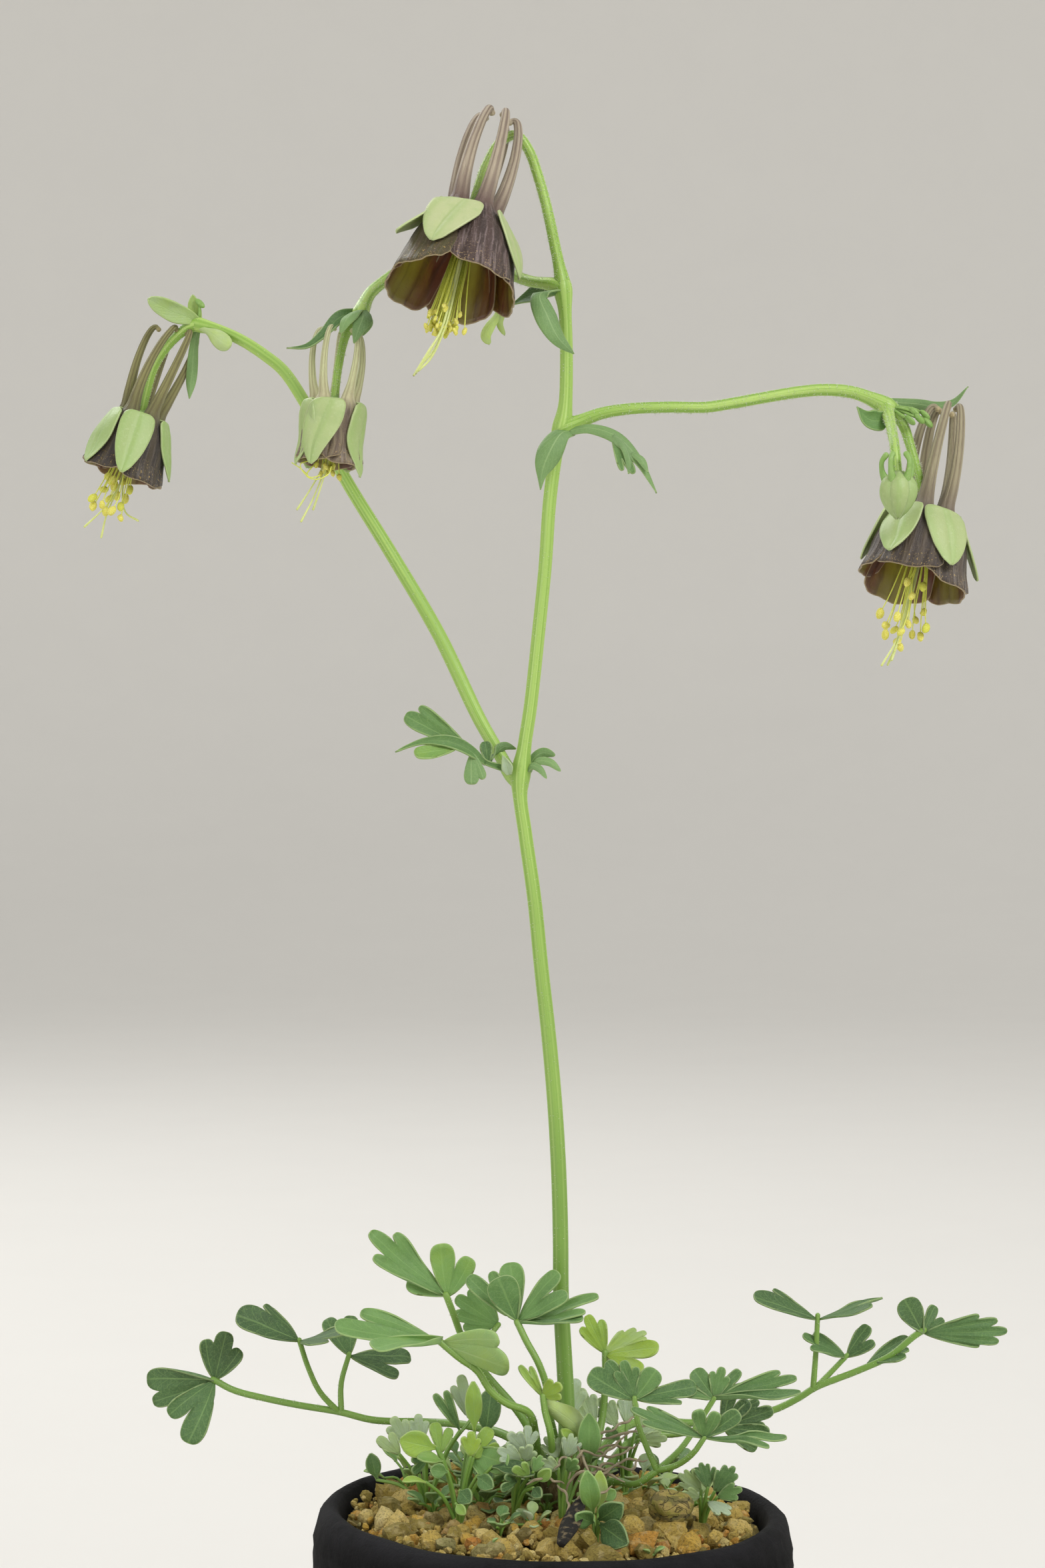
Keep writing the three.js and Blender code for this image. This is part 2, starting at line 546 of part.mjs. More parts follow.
// ---- Basal leaves ----
// Each is a petiole that leaves the crown, its branches, and leaflets that fan from their ends.
const PETIOLE = [0.75, 0.6, 0.55];
const PETIOLE_FOOT = 68.6;
function besideCrown(degrees) {
  const angle = THREE.MathUtils.degToRad(degrees);
  const out = CROWN_RADIUS + GAP + PETIOLE[0];
  return new THREE.Vector3(
    CROWN_AT[0] + out * Math.sin(angle),
    CROWN_AT[1] - out * Math.cos(angle),
    PETIOLE_FOOT,
  );
}
const TWIG = [0.5, 0.4];
const basalLeaves = {
  far_left_leaf: [
    stalk([besideCrown(-112), [770, 2160, 12], [700, 2138, 20], [640, 2133, 25], [560, 2130, 25], [510, 2118, 25],
      [450, 2108, 25], [400, 2098, 25], [350, 2085, 25], [322, 2070, 25]], PETIOLE),
    stalk([[508, 2118, 25], [480, 2088, 24], [462, 2050, 23], [450, 2012, 22]], TWIG),
    stalk([[512, 2118, 25], [512, 2075, 26], [524, 2033, 27]], TWIG),
    fan([322, 2070, 25], [338, 2002, 25], FRONT, 42, 3),
    fan([322, 2071, 25], [236, 2100, 27], FRONT, 34, 3),
    fan([322, 2071, 25], [262, 2156, 21], FRONT, 34, 3),
    fan([450, 2012, 22], [372, 1968, 21], [0.3, -0.5, 0.8], 30, 3),
    fan([450, 2012, 22], [510, 2012, 16], UP, 34, 2),
    fan([524, 2034, 27], [515, 1985, 31], [0, -0.7, 0.7], 32, 2),
    fan([524, 2034, 27], [606, 2040, 28], UP, 28, 2),
  ],
  front_left_leaf: [
    stalk([besideCrown(-72), [803, 2150, -6], [792, 2118, -10], [760, 2105, -12], [735, 2085, -13],
      [716, 2056, -14], [688, 2036, -15], [662, 2014, -15]], PETIOLE),
    fan([662, 2014, -15], [528, 1982, -20], [0.1, -0.6, 0.8], 17, 2),
    fan([662, 2014, -15], [600, 2012, -27], UP, 24, 2),
    fan([662, 2014, -15], [752, 2028, -19], [0.1, -0.8, 0.6], 34, 3),
  ],
  left_leaf: [
    stalk([besideCrown(-150), [786, 2130, 6], [735, 2068, 7], [704, 2030, 7], [690, 1998, 7], [680, 1970, 6],
      [670, 1945, 6]], PETIOLE),
    fan([670, 1945, 6], [572, 1862, 4], [0.3, -0.75, 0.6], 25, 3),
    fan([670, 1945, 6], [676, 1872, 6], FRONT, 33, 2),
    stalk([[706, 2033, 7], [728, 2012, 9], [748, 1988, 11]], TWIG),
    fan([748, 1988, 11], [688, 1952, 12], FRONT, 40, 3),
  ],
  middle_leaf: [
    stalk([besideCrown(8), [826, 2130, -6], [820, 2080, -6], [808, 2045, -6], [790, 2012, -5], [776, 1985, -4]],
      PETIOLE),
    fan([776, 1985, -4], [750, 1924, -5], FRONT, 30, 2),
    fan([776, 1985, -4], [862, 1942, -6], [-0.1, -0.8, 0.6], 26, 3),
    fan([776, 1985, -4], [724, 1922, 0], FRONT, 16, 1),
    fan([776, 1985, -4], [765, 1904, 0], FRONT, 15, 1),
  ],
  yellow_leaf: [
    stalk([besideCrown(130), [903, 2130, 9], [908, 2080, 10], [908, 2030, 10]], PETIOLE),
    fan([908, 2030, 10], [880, 1976, 11], FRONT, 24, 2),
    fan([908, 2030, 10], [976, 2034, 6], UP, 28, 2),
    fan([908, 2030, 10], [960, 2004, 14], [0, -0.5, 0.8], 26, 3),
  ],
  front_right_leaf: [
    stalk([besideCrown(55), [925, 2222, -6], [955, 2226, -10.5], [986, 2206, -12]], PETIOLE),
    stalk([[986, 2206, -12], [968, 2165, -12], [956, 2130, -13], [952, 2098, -13]], TWIG),
    stalk([[986, 2206, -12], [1020, 2175, -11], [1045, 2140, -10], [1072, 2098, -10]], TWIG),
    stalk([[986, 2206, -12], [1015, 2198, -14], [1040, 2180, -16], [1056, 2157, -17]], TWIG),
    fan([952, 2098, -13], [930, 2044, -13], FRONT, 50, 3),
    fan([952, 2098, -13], [1040, 2094, -12], [0, -0.8, 0.6], 14, 2),
    fan([1072, 2098, -10], [1076, 2056, -9], [0, -0.9, 0.4], 50, 3),
    fan([1072, 2098, -10], [1186, 2076, -10], [0, -0.7, 0.7], 14, 3),
    fan([1056, 2157, -17], [958, 2124, -19], [0, -0.7, 0.7], 12, 2),
    fan([1056, 2157, -17], [1062, 2120, -19], FRONT, 34, 2),
    fan([1056, 2157, -17], [1165, 2160, -20], UP, 20, 2),
  ],
  back_right_leaf: [
    stalk([besideCrown(95), [950, 2160, 10], [1020, 2150, 13], [1085, 2140, 15]], PETIOLE),
    fan([1084, 2140, 15], [1122, 2102, 15], FRONT, 34, 2),
    fan([1084, 2140, 15], [1154, 2140, 15], FRONT, 30, 2),
  ],
  far_right_leaf: [
    stalk([besideCrown(165), [950, 2135, 20], [1050, 2134, 28], [1155, 2117, 30], [1200, 2096, 30], [1222, 2082, 30],
      [1290, 2055, 30], [1335, 2034, 30], [1372, 2004, 30], [1385, 1996, 30]], PETIOLE),
    stalk([[1220, 2084, 30], [1224, 2030, 30], [1227, 1974, 30]], TWIG),
    stalk([[1226, 2080, 30], [1250, 2055, 31], [1270, 2034, 31]], TWIG),
    fan([1227, 1976, 30], [1140, 1943, 28], [0.2, -0.4, 0.9], 26, 2),
    fan([1227, 1976, 30], [1318, 1952, 29], [-0.1, -0.3, 1], 26, 2),
    fan([1270, 2034, 31], [1222, 2006, 30], [0, -0.5, 0.9], 26, 2),
    fan([1270, 2034, 31], [1304, 2006, 31], [0, -0.6, 0.8], 26, 2),
    fan([1385, 1997, 30], [1376, 1956, 30], FRONT, 32, 2),
    fan([1385, 1997, 30], [1500, 1998, 30], FRONT, 17, 3),
  ],
  young_leaf: [
    stalk([besideCrown(-30), [826, 2150, -10], [818, 2118, -10], [815, 2095, -10]], TWIG),
    fan([815, 2095, -10], [787, 2052, -10], FRONT, 18, 1),
    fan([815, 2095, -10], [836, 2088, -12], FRONT, 34, 2),
  ],
};
Object.entries(basalLeaves).forEach(([name, pieces]) => {
  const fresh = name === 'yellow_leaf' || name === 'young_leaf';
  add(name, joined(pieces), fresh ? FINISH.young : FINISH.leaf);
});

// ---- Seedlings in the gravel ----
const seedlings = {
  left_seedling: [
    stalk([[686, 2267, -8], [697, 2215, -8], [705, 2160, -9], [710, 2138, -9]], TWIG),
    stalk([[690, 2240, -8], [668, 2190, -10], [640, 2172, -12]], TWIG),
    fan([710, 2140, -9], [712, 2082, -9], FRONT, 18, 1),
    fan([640, 2172, -12], [604, 2160, -12], FRONT, 34, 1),
    fan([702, 2175, -8.5], [742, 2208, -12], FRONT, 26, 1),
  ],
};
Object.entries(seedlings).forEach(([name, pieces]) => {
  add(name, joined(pieces), FINISH.young);
});

export default plant;
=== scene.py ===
import bpy
import numpy as np
from bpy.props import FloatProperty, FloatVectorProperty, IntProperty, PointerProperty
from bpy.types import Operator, Panel, PropertyGroup
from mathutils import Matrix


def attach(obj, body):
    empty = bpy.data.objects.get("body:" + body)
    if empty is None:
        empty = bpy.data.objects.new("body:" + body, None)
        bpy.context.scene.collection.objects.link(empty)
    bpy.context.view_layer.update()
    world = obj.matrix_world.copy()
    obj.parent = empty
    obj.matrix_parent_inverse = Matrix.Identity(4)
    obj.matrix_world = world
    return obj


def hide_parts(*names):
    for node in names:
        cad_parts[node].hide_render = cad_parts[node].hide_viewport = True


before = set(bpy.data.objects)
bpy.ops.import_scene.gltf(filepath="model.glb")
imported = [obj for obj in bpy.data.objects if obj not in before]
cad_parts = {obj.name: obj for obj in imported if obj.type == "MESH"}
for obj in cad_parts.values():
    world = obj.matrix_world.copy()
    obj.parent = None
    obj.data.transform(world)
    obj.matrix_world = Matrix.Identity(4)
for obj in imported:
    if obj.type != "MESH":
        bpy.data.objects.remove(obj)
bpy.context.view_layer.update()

bl_info = {
    "name": "Columbine in a pot",
    "version": (1, 0, 0),
    "blender": (4, 5, 0),
    "location": "3D View > Sidebar > Columbine",
    "description": "Builds the fine surfaces of a potted columbine around its construction model",
    "category": "Add Mesh",
}

MM = 0.001


# ---- Colours ----
def tint(code):
    """The linear red, green, blue and alpha of a six-digit screen colour."""
    screen = np.array([int(code[i:i + 2], 16) for i in (0, 2, 4)]) / 255
    linear = np.where(screen <= 0.04045, screen / 12.92, ((screen + 0.055) / 1.055) ** 2.4)
    return (*(float(c) for c in linear), 1.0)


def colour(name, description, code):
    """A colour setting whose default is a six-digit screen colour."""
    return FloatVectorProperty(
        name=name, description=description, default=tint(code), size=4, min=0, max=1, subtype="COLOR")


def length(name, description, default, high):
    """A length setting, given in millimetres and kept in metres."""
    return FloatProperty(
        name=name, description=description, default=default * MM, min=0, max=high * MM,
        subtype="DISTANCE", unit="LENGTH", precision=5)


def joined(*parts):
    """Points from arrays, or single numbers, of their coordinates."""
    return np.stack(np.broadcast_arrays(*parts), -1)


# ---- The front drawing ----
# Routes are given on a front drawing whose unit is DRAWN millimetres, x to the right and y
# down, seen from the eye point; a third number is the depth in millimetres behind the stem.
DRAWN = 0.11
EYE = np.array((-5.0, -525.0, 184.7))
DRAWING_MIDDLE = (784.0, 1176.0)
FRONT = (0.0, -1.0, 0.1)
UP = (0.0, -0.35, 1.0)


def at(route):
    """Places of drawing points, in millimetres: similar triangles from the eye point."""
    x, y, depth = np.moveaxis(np.asarray(route, float), -1, 0)
    reach = DRAWN * (1 - depth / EYE[1])
    return joined(EYE[0] + (x - DRAWING_MIDDLE[0]) * reach, depth,
                  EYE[2] - (y - DRAWING_MIDDLE[1]) * reach)


# ---- Curves and surfaces ----
def unit(vectors):
    """Vectors divided by their lengths."""
    return vectors / np.maximum(np.linalg.norm(vectors, axis=-1, keepdims=True), 1e-12)


def through(stations, values, t):
    """A smooth curve through values at stations: cubic spans whose slopes come from neighbours."""
    x, y = np.asarray(stations, float), np.asarray(values, float)
    slope = np.gradient(y, x, axis=0)
    k = np.clip(np.searchsorted(x, t, side="right") - 1, 0, len(x) - 2)
    span = x[k + 1] - x[k]
    s = (t - x[k]) / span
    if y.ndim > 1:
        span, s = span[..., None], s[..., None]
    return ((1 + 2 * s) * (1 - s) ** 2 * y[k] + s * (1 - s) ** 2 * span * slope[k]
            + s * s * (3 - 2 * s) * y[k + 1] + s * s * (s - 1) * span * slope[k + 1])


def evenly(values, count):
    """count even readings, from end to end, of the smooth curve through evenly spaced values."""
    return through(np.linspace(0, 1, len(values)), values, np.linspace(0, 1, count))


def smooth(points, count):
    """count places equally far apart on the smooth curve through points."""
    points = np.asarray(points, float)
    steps = np.linalg.norm(np.diff(points, axis=0), axis=1) ** 0.5
    stations = np.concatenate(([0], np.cumsum(steps)))
    fine = through(stations, points, np.linspace(0, stations[-1], 30 * len(points)))
    arc = np.concatenate(([0], np.cumsum(np.linalg.norm(np.diff(fine, axis=0), axis=1))))
    even = np.linspace(0, arc[-1], count)
    return joined(*(np.interp(even, arc, line) for line in fine.T))


def length_of(points):
    """The sum of the steps between points."""
    return np.linalg.norm(np.diff(points, axis=0), axis=1).sum()


def axes_along(path, hint):
    """Unit vectors along a path, across it near the hint, and square to both."""
    along = unit(np.gradient(path, axis=0))
    hint = np.broadcast_to(np.asarray(hint, float), path.shape)
    across = unit(hint - (along * hint).sum(-1, keepdims=True) * along)
    return along, across, np.cross(along, across)


def outward(angle):
    """The level unit vector at an angle from the front to the right."""
    return np.array((np.sin(angle), -np.cos(angle), 0.0))


def round_turn(columns):
    """Even angles once round, whose last is the first again so that a seam closes."""
    turn = np.linspace(0, 2 * np.pi, columns + 1)
    turn[-1] = 0
    return turn


def ball(rows, columns):
    """The unit sphere: a half circle from pole to pole, turned once round the upright."""
    fall, turn = np.linspace(0, np.pi, rows)[:, None], round_turn(columns)[None]
    out = np.sin(fall)
    return joined(out * np.cos(turn), out * np.sin(turn), -np.cos(fall))


DOME = np.radians((90, 62, 32))  # rings of a tube's domed end, as angles from its rim


def tube(path, radius, around=12, hint=FRONT, ribs=None):
    """Rings of a round section carried along a path and square to it, with domed ends.

    ribs is a change of radius by the angle round the section, as a share of it."""
    along, across, up = axes_along(path, hint)
    radius = np.broadcast_to(np.asarray(radius, float), len(path))
    caps = np.sin(DOME)[:, None]
    centres = np.concatenate((path[0] - along[0] * radius[0] * caps, path,
                              (path[-1] + along[-1] * radius[-1] * caps)[::-1]))
    radii = np.concatenate((radius[0] * np.cos(DOME), radius, radius[-1] * np.cos(DOME)[::-1]))
    across, up = (np.concatenate((v[[0, 0, 0]], v, v[[-1, -1, -1]])) for v in (across, up))
    turn = np.linspace(-np.pi, np.pi, around + 1)
    ring = np.cos(turn)[:, None] * across[:, None] + np.sin(turn)[:, None] * up[:, None]
    share = np.ones(around + 1) if ribs is None else 1 + ribs(turn)
    return centres[:, None] + radii[:, None, None] * share[:, None] * ring


def ripple(points, wave, seed, count=14):
    """A smooth uneven field, mostly from -1 to 1: 2.2 times the mean of count plane waves of
    random direction."""
    rng = np.random.default_rng(seed)
    ways = unit(rng.normal(size=(count, 3))) * (2 * np.pi / wave) * rng.uniform(0.6, 1.5, (count, 1))
    return np.sin(points @ ways.T + rng.uniform(0, 2 * np.pi, count)).mean(-1) * 2.2


def smoothstep(low, high, x):
    """0 below low, 1 above high and the cubic 3s2 - 2s3 between."""
    s = np.clip((x - low) / (high - low), 0, 1)
    return s * s * (3 - 2 * s)


# ---- Meshes ----
# What each point carries: the way along and across its surface, its distance from the free edge
# in millimetres, and the tone of its leaf, grain or petal.
MARKS = ("along", "across", "rim", "tone")


def weld(points, quads):
    """Joins coincident points; a quad that loses a corner becomes a triangle."""
    _, first, same = np.unique(np.round(points, 4), axis=0, return_index=True, return_inverse=True)
    corners = same.reshape(-1)[quads]
    repeats = corners == np.roll(corners, -1, axis=1)
    lost = repeats.sum(1)
    triangles = corners[lost == 1][~repeats[lost == 1]].reshape(-1, 3)
    return first, [corners[lost == 0], triangles]


def grid_quads(rows, columns):
    """The four corners of each cell of a grid."""
    index = np.arange(rows * columns).reshape(rows, columns)
    corners = index[:-1, :-1], index[:-1, 1:], index[1:, 1:], index[1:, :-1]
    return np.stack(corners, -1).reshape(-1, 4)


def normals_of(points, faces):
    """At each point, the sum of its faces' normals: the cross products of their diagonals."""
    total = np.zeros_like(points)
    for corners in faces:
        if len(corners):
            p = points[corners]
            square = np.cross(p[:, 2] - p[:, 0], p[:, -1] - p[:, 1])
            np.add.at(total, corners.ravel(), np.repeat(square, corners.shape[1], axis=0))
    return unit(total)


def open_edges(faces, count):
    """Edges that only one face has, in that face's direction."""
    edges = np.concatenate([np.stack((f, np.roll(f, -1, axis=1)), -1).reshape(-1, 2) for f in faces])
    there, back = edges @ (count, 1), edges @ (1, count)
    return edges[~np.isin(there, back)]


def beyond(grid):
    """Each point's distance from the nearest free edge: the last row and the outer columns."""
    edge = np.concatenate((grid[-1], grid[:, 0], grid[:, -1]))
    flat = grid.reshape(-1, 3)
    gap = np.sqrt(np.maximum((flat ** 2).sum(1)[:, None] + (edge ** 2).sum(1)
                             - 2 * flat @ edge.T, 0)).min(1)
    return gap.reshape(grid.shape[:2])


class Piece:
    """Gathers surfaces in millimetres and makes one object of them, in metres."""

    def __init__(self):
        self.points, self.marks, self.loops, self.sizes, self.kinds = [], [], [], [], []
        self.total, self.smooth = 0, True

    def take(self, points, marks, faces, kinds):
        """Adds points, their marks and lists of faces with a finish number each."""
        for corners, kind in zip(faces, kinds):
            self.loops.append(corners.ravel() + self.total)
            self.sizes.append(np.full(len(corners), corners.shape[1]))
            self.kinds.append(np.full(len(corners), kind))
        self.points.append(points)
        self.marks.append(marks)
        self.total += len(points)

    def surface(self, grid, thickness=None, kind=0, under=None, **marks):
        """Adds a grid of rows and columns. With a thickness it is a closed shell of two skins,
        half of it to each side, and the under skin may have a finish of its own."""
        shape = grid.shape[:2]
        first, faces = weld(grid.reshape(-1, 3), grid_quads(*shape))
        points = grid.reshape(-1, 3)[first]
        marks = np.stack([np.broadcast_to(marks.get(m, 0.0), shape).ravel()[first] for m in MARKS], -1)
        kinds = [kind] * 2
        if thickness is not None:
            half = np.broadcast_to(thickness, shape).ravel()[first][:, None] / 2
            normals, count = normals_of(points, faces), len(points)
            i, j = open_edges(faces, count).T
            points = np.concatenate((points + half * normals, points - half * normals))
            marks = np.concatenate((marks, marks))
            wall = np.stack((j, i, i + count, j + count), -1)
            faces = [*faces, *(f[:, ::-1] + count for f in faces), wall]
            kinds = [kind] * 2 + [kind if under is None else under] * 2 + [kind]
        self.take(points, marks, faces, kinds)

    def round(self, grid, kind=0, tone=0.0):
        """Adds a tube's grid, marked from end to end and round from its front to its back."""
        rows, columns = grid.shape[:2]
        self.surface(grid, kind=kind, tone=tone, rim=1.0, along=np.linspace(0, 1, rows)[:, None],
                     across=np.abs(np.linspace(-1, 1, columns))[None])

    def rod(self, path, radius, around=12, kind=0, tone=0.0, ribs=None):
        """Adds a tube carried along a path."""
        self.round(tube(path, radius, around, ribs=ribs), kind, tone)

    def copies(self, points, faces, kind=0, **marks):
        """Adds copies of one small shape; points has one row of places for each copy."""
        count, size = points.shape[:2]
        start = np.arange(count)[:, None, None] * size
        spread = [(start + f[None]).reshape(-1, f.shape[1]) for f in faces]
        marks = np.stack([np.broadcast_to(marks.get(m, 0.0), (count, size)).ravel() for m in MARKS], -1)
        self.take(points.reshape(-1, 3), marks, spread, [kind] * len(faces))

    def make(self, name, finishes, slot, *stands_for):
        """The object, riding on the body and standing for its nodes."""
        mesh = bpy.data.meshes.new(name)
        points = np.concatenate(self.points) * MM
        sizes, loops = np.concatenate(self.sizes), np.concatenate(self.loops)
        mesh.vertices.add(len(points))
        mesh.vertices.foreach_set("co", points.astype(np.float32).ravel())
        mesh.loops.add(len(loops))
        mesh.loops.foreach_set("vertex_index", loops.astype(np.int32))
        mesh.polygons.add(len(sizes))
        mesh.polygons.foreach_set("loop_start", (np.cumsum(sizes) - sizes).astype(np.int32))
        mesh.polygons.foreach_set("material_index", np.concatenate(self.kinds).astype(np.int32))
        mesh.polygons.foreach_set("use_smooth", np.full(len(sizes), self.smooth))
        mesh.update(calc_edges=True)
        marks = np.concatenate(self.marks).astype(np.float32)
        for label, values in zip(MARKS, marks.T):
            mesh.attributes.new(label, "FLOAT", "POINT").data.foreach_set("value", values.copy())
        for finish in finishes:
            mesh.materials.append(finish)
        piece = bpy.data.objects.new(name, mesh)
        bpy.context.scene.collection.objects.link(piece)
        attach(piece, "root")
        if stands_for:
            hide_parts(*stands_for)
        return piece


# ---- Finishes ----
GLOW = {"subsurface_radius": (1.0, 1.0, 0.4), "subsurface_scale": 0.0012}


def adds(operation, swapped=False):
    """An operator that adds one Math node; swapped puts the other value first."""
    def method(self, other):
        """The node that joins the two values."""
        first, second = (other, self) if swapped else (self, other)
        return self.look.node("ShaderNodeMath", {"operation": operation}, {0: first, 1: second})
    return method


class Value:
    """A shader socket with arithmetic: each operator adds one Math node."""

    __add__ = __radd__ = adds("ADD")
    __sub__, __rsub__ = adds("SUBTRACT"), adds("SUBTRACT", swapped=True)
    __mul__ = __rmul__ = adds("MULTIPLY")
    __pow__ = adds("POWER")

    def __init__(self, look, socket):
        self.look, self.socket = look, socket

    def math(self, operation, *others, clamp=False):
        """Any other Math node on the value."""
        inputs = dict(enumerate((self, *others)))
        return self.look.node("ShaderNodeMath", {"operation": operation, "use_clamp": clamp}, inputs)

    def wave(self):
        """The sine of the value, moved to lie from 0 to 1."""
        return self.math("SINE") * 0.5 + 0.5

    def clamped(self):
        """The value held between 0 and 1."""
        return self.math("ADD", 0.0, clamp=True)

    def between(self, low, high):
        """0 below low, 1 above high and smooth between; low may be the larger."""
        return self.look.node(
            "ShaderNodeMapRange", {"interpolation_type": "SMOOTHSTEP"},
            {0: self, 1: low, 2: high, 3: 0.0, 4: 1.0})


class Look:
    """One node material. Its textures read places in millimetres or the marks of the mesh."""

    def __init__(self, name):
        self.material = bpy.data.materials.new(f"fine_{name}")
        self.material.use_nodes = True
        self.tree = self.material.node_tree
        self.tree.nodes.clear()
        self.place = self.node(
            "ShaderNodeVectorMath", {"operation": "SCALE"},
            {0: self.node("ShaderNodeTexCoord", output="Object"), "Scale": 1 / MM})

    def node(self, kind, settings=None, inputs=None, output=0):
        """Adds a node: settings first, then the links or values of its sockets.

        A text is a screen colour."""
        made = self.tree.nodes.new(kind)
        for key, value in (settings or {}).items():
            if key == "stops":
                for _ in range(len(value) - 2):
                    made.color_ramp.elements.new(0.5)
                for stop, (position, code) in zip(made.color_ramp.elements, value):
                    stop.position, stop.color = position, tint(code)
            else:
                setattr(made, key, value)
        for key, value in (inputs or {}).items():
            if isinstance(value, Value):
                self.tree.links.new(value.socket, made.inputs[key])
            else:
                made.inputs[key].default_value = tint(value) if isinstance(value, str) else value
        return Value(self, made.outputs[output])

    def mark(self, name):
        """A mark that the mesh carries."""
        return self.node("ShaderNodeAttribute", {"attribute_name": name}, output="Fac")

    def marks(self, *names):
        """The named marks, or all four."""
        return [self.mark(name) for name in names or MARKS]

    def height(self):
        """Height above the floor in millimetres."""
        return self.node("ShaderNodeSeparateXYZ", None, {0: self.place}, output=2)

    def vector(self, x, y, z):
        """Three values as one place."""
        return self.node("ShaderNodeCombineXYZ", None, {0: x, 1: y, 2: z})

    def noise(self, size, detail=3.0, where=None, rough=0.55, warp=0.0):
        """Noise from 0 to 1 whose features are about size millimetres."""
        inputs = {"Vector": where or self.place, "Scale": 1 / size, "Detail": detail,
                  "Roughness": rough, "Distortion": warp}
        return self.node("ShaderNodeTexNoise", None, inputs)

    def cells(self, size, feature="F1"):
        """Distance to the middle, or the edge, of cells of about size millimetres."""
        return self.node("ShaderNodeTexVoronoi", {"feature": feature},
                         {"Vector": self.place, "Scale": 1 / size}, output="Distance")

    def ramp(self, value, stops):
        """Colours by value: each stop is a value and a screen colour."""
        return self.node("ShaderNodeValToRGB", {"stops": stops}, {0: value})

    def mix(self, share, a, b):
        """Colour a where share is 0 and b where it is 1."""
        return self.node("ShaderNodeMix", {"data_type": "RGBA"}, {0: share, 6: a, 7: b}, output=2)

    def coats(self, base, *coats):
        """The base with coats over it, one after the other: each is a share and a colour."""
        for share, shade in coats:
            base = self.mix(share, base, shade)
        return base

    def finish(self, base, roughness, height=None, depth=0.1, glow=0.0, **constants):
        """Ends the material: height is a bump of depth millimetres, glow is how much light goes
        in under the surface, and constants are the values of other sockets."""
        inputs = {"Base Color": base, "Roughness": roughness}
        if glow:
            constants.update(GLOW, subsurface_weight=glow)
        inputs.update({key.replace("_", " ").title().replace("Ior", "IOR"): value
                       for key, value in constants.items()})
        if height is not None:
            bump = {"Height": height, "Distance": depth * MM}
            inputs["Normal"] = self.node("ShaderNodeBump", None, bump)
        shader = self.node("ShaderNodeBsdfPrincipled", None, inputs)
        end = self.tree.nodes.new("ShaderNodeOutputMaterial")
        self.tree.links.new(shader.socket, end.inputs[0])
        return self.material


def stem_finish(settings):
    """Fresh green with long pale streaks, darker just under the nodes, satin."""
    look = Look("stem")
    along, across, tone = look.marks("along", "across", "tone")
    streak = look.noise(0.28, detail=2, where=look.vector(across * 2.2, along * 0.35, tone * 9.0))
    fleck = look.noise(0.5, detail=4)
    base = look.mix(streak.between(0.35, 0.68), settings.stem_colour, "AFCB70")
    base = look.mix(fleck.between(0.58, 0.74) * 0.3, base, "648A30")
    low = (look.height() + look.noise(16.0, detail=1) * 60.0 - 30.0).between(190.0, 60.0)
    base = look.mix(low * 0.75, base, "5E8434")
    return look.finish(base, 0.5 - streak * 0.12, streak * 0.6 + fleck * 0.4, 0.05, glow=0.12)


def hair_finish():
    """Fine pale hairs that catch the light."""
    look = Look("hair")
    base = look.mix(look.noise(0.6), "D2DEB4", "F2F6E2")
    return look.finish(base, 0.35, glow=0.3)


# The shades of a leaf's two skins, by the leaf's tone, and the colour of their veins.
LEAF_STOPS = (0.0, 0.25, 0.5, 0.75, 1.0)
LEAF_SKINS = {
    "leaf_upper": (("2F4A28", "4A6E3A", "6E9650", "94B038", "A2B29A"), "8DAE68"),
    "leaf_under": (("486440", "64864E", "86A86A", "AAC254", "B6C4AE"), "A9C08A"),
}


def leaf_finish(settings, name):
    """A leaf skin: a shade chosen by the leaf, pale veins that fan to the lobes, a pale rim."""
    shades, vein = LEAF_SKINS[name]
    look = Look(name)
    along, across, rim, tone = look.marks()
    shift = look.noise(2.2, detail=2) * 0.16 - 0.08
    middle = (across + shift * 0.25).math("ABSOLUTE")
    midrib = middle.between(0.085, 0.02) * (1 - along * 0.55)
    branch = ((along * 7.0 - middle * 3.2 + shift * 2.0).math("FRACT") - 0.5).math("ABSOLUTE")
    side = branch.between(0.07, 0.01) * middle.between(0.02, 0.1) * 0.55
    fine = look.cells(0.42, feature="DISTANCE_TO_EDGE").between(0.07, 0.0) * 0.35
    veins = midrib.math("MAXIMUM", side).math("MAXIMUM", fine)
    cloud = look.noise(3.5, detail=4)
    base = look.ramp((tone + cloud * 0.24 - 0.12).clamped(), list(zip(LEAF_STOPS, shades)))
    base = look.coats(
        base, (look.noise(0.35, detail=3).between(0.45, 0.75) * 0.18, "8EAA72"), (veins * 0.5, vein),
        (rim.between(0.1, 0.03) * 0.34, settings.leaf_edge_colour))
    height = look.noise(0.28, detail=3) * 0.35 + look.noise(1.6) * 0.5 - veins * 0.35
    return look.finish(base, 0.5 + cloud * 0.18, height, 0.12, glow=0.14)


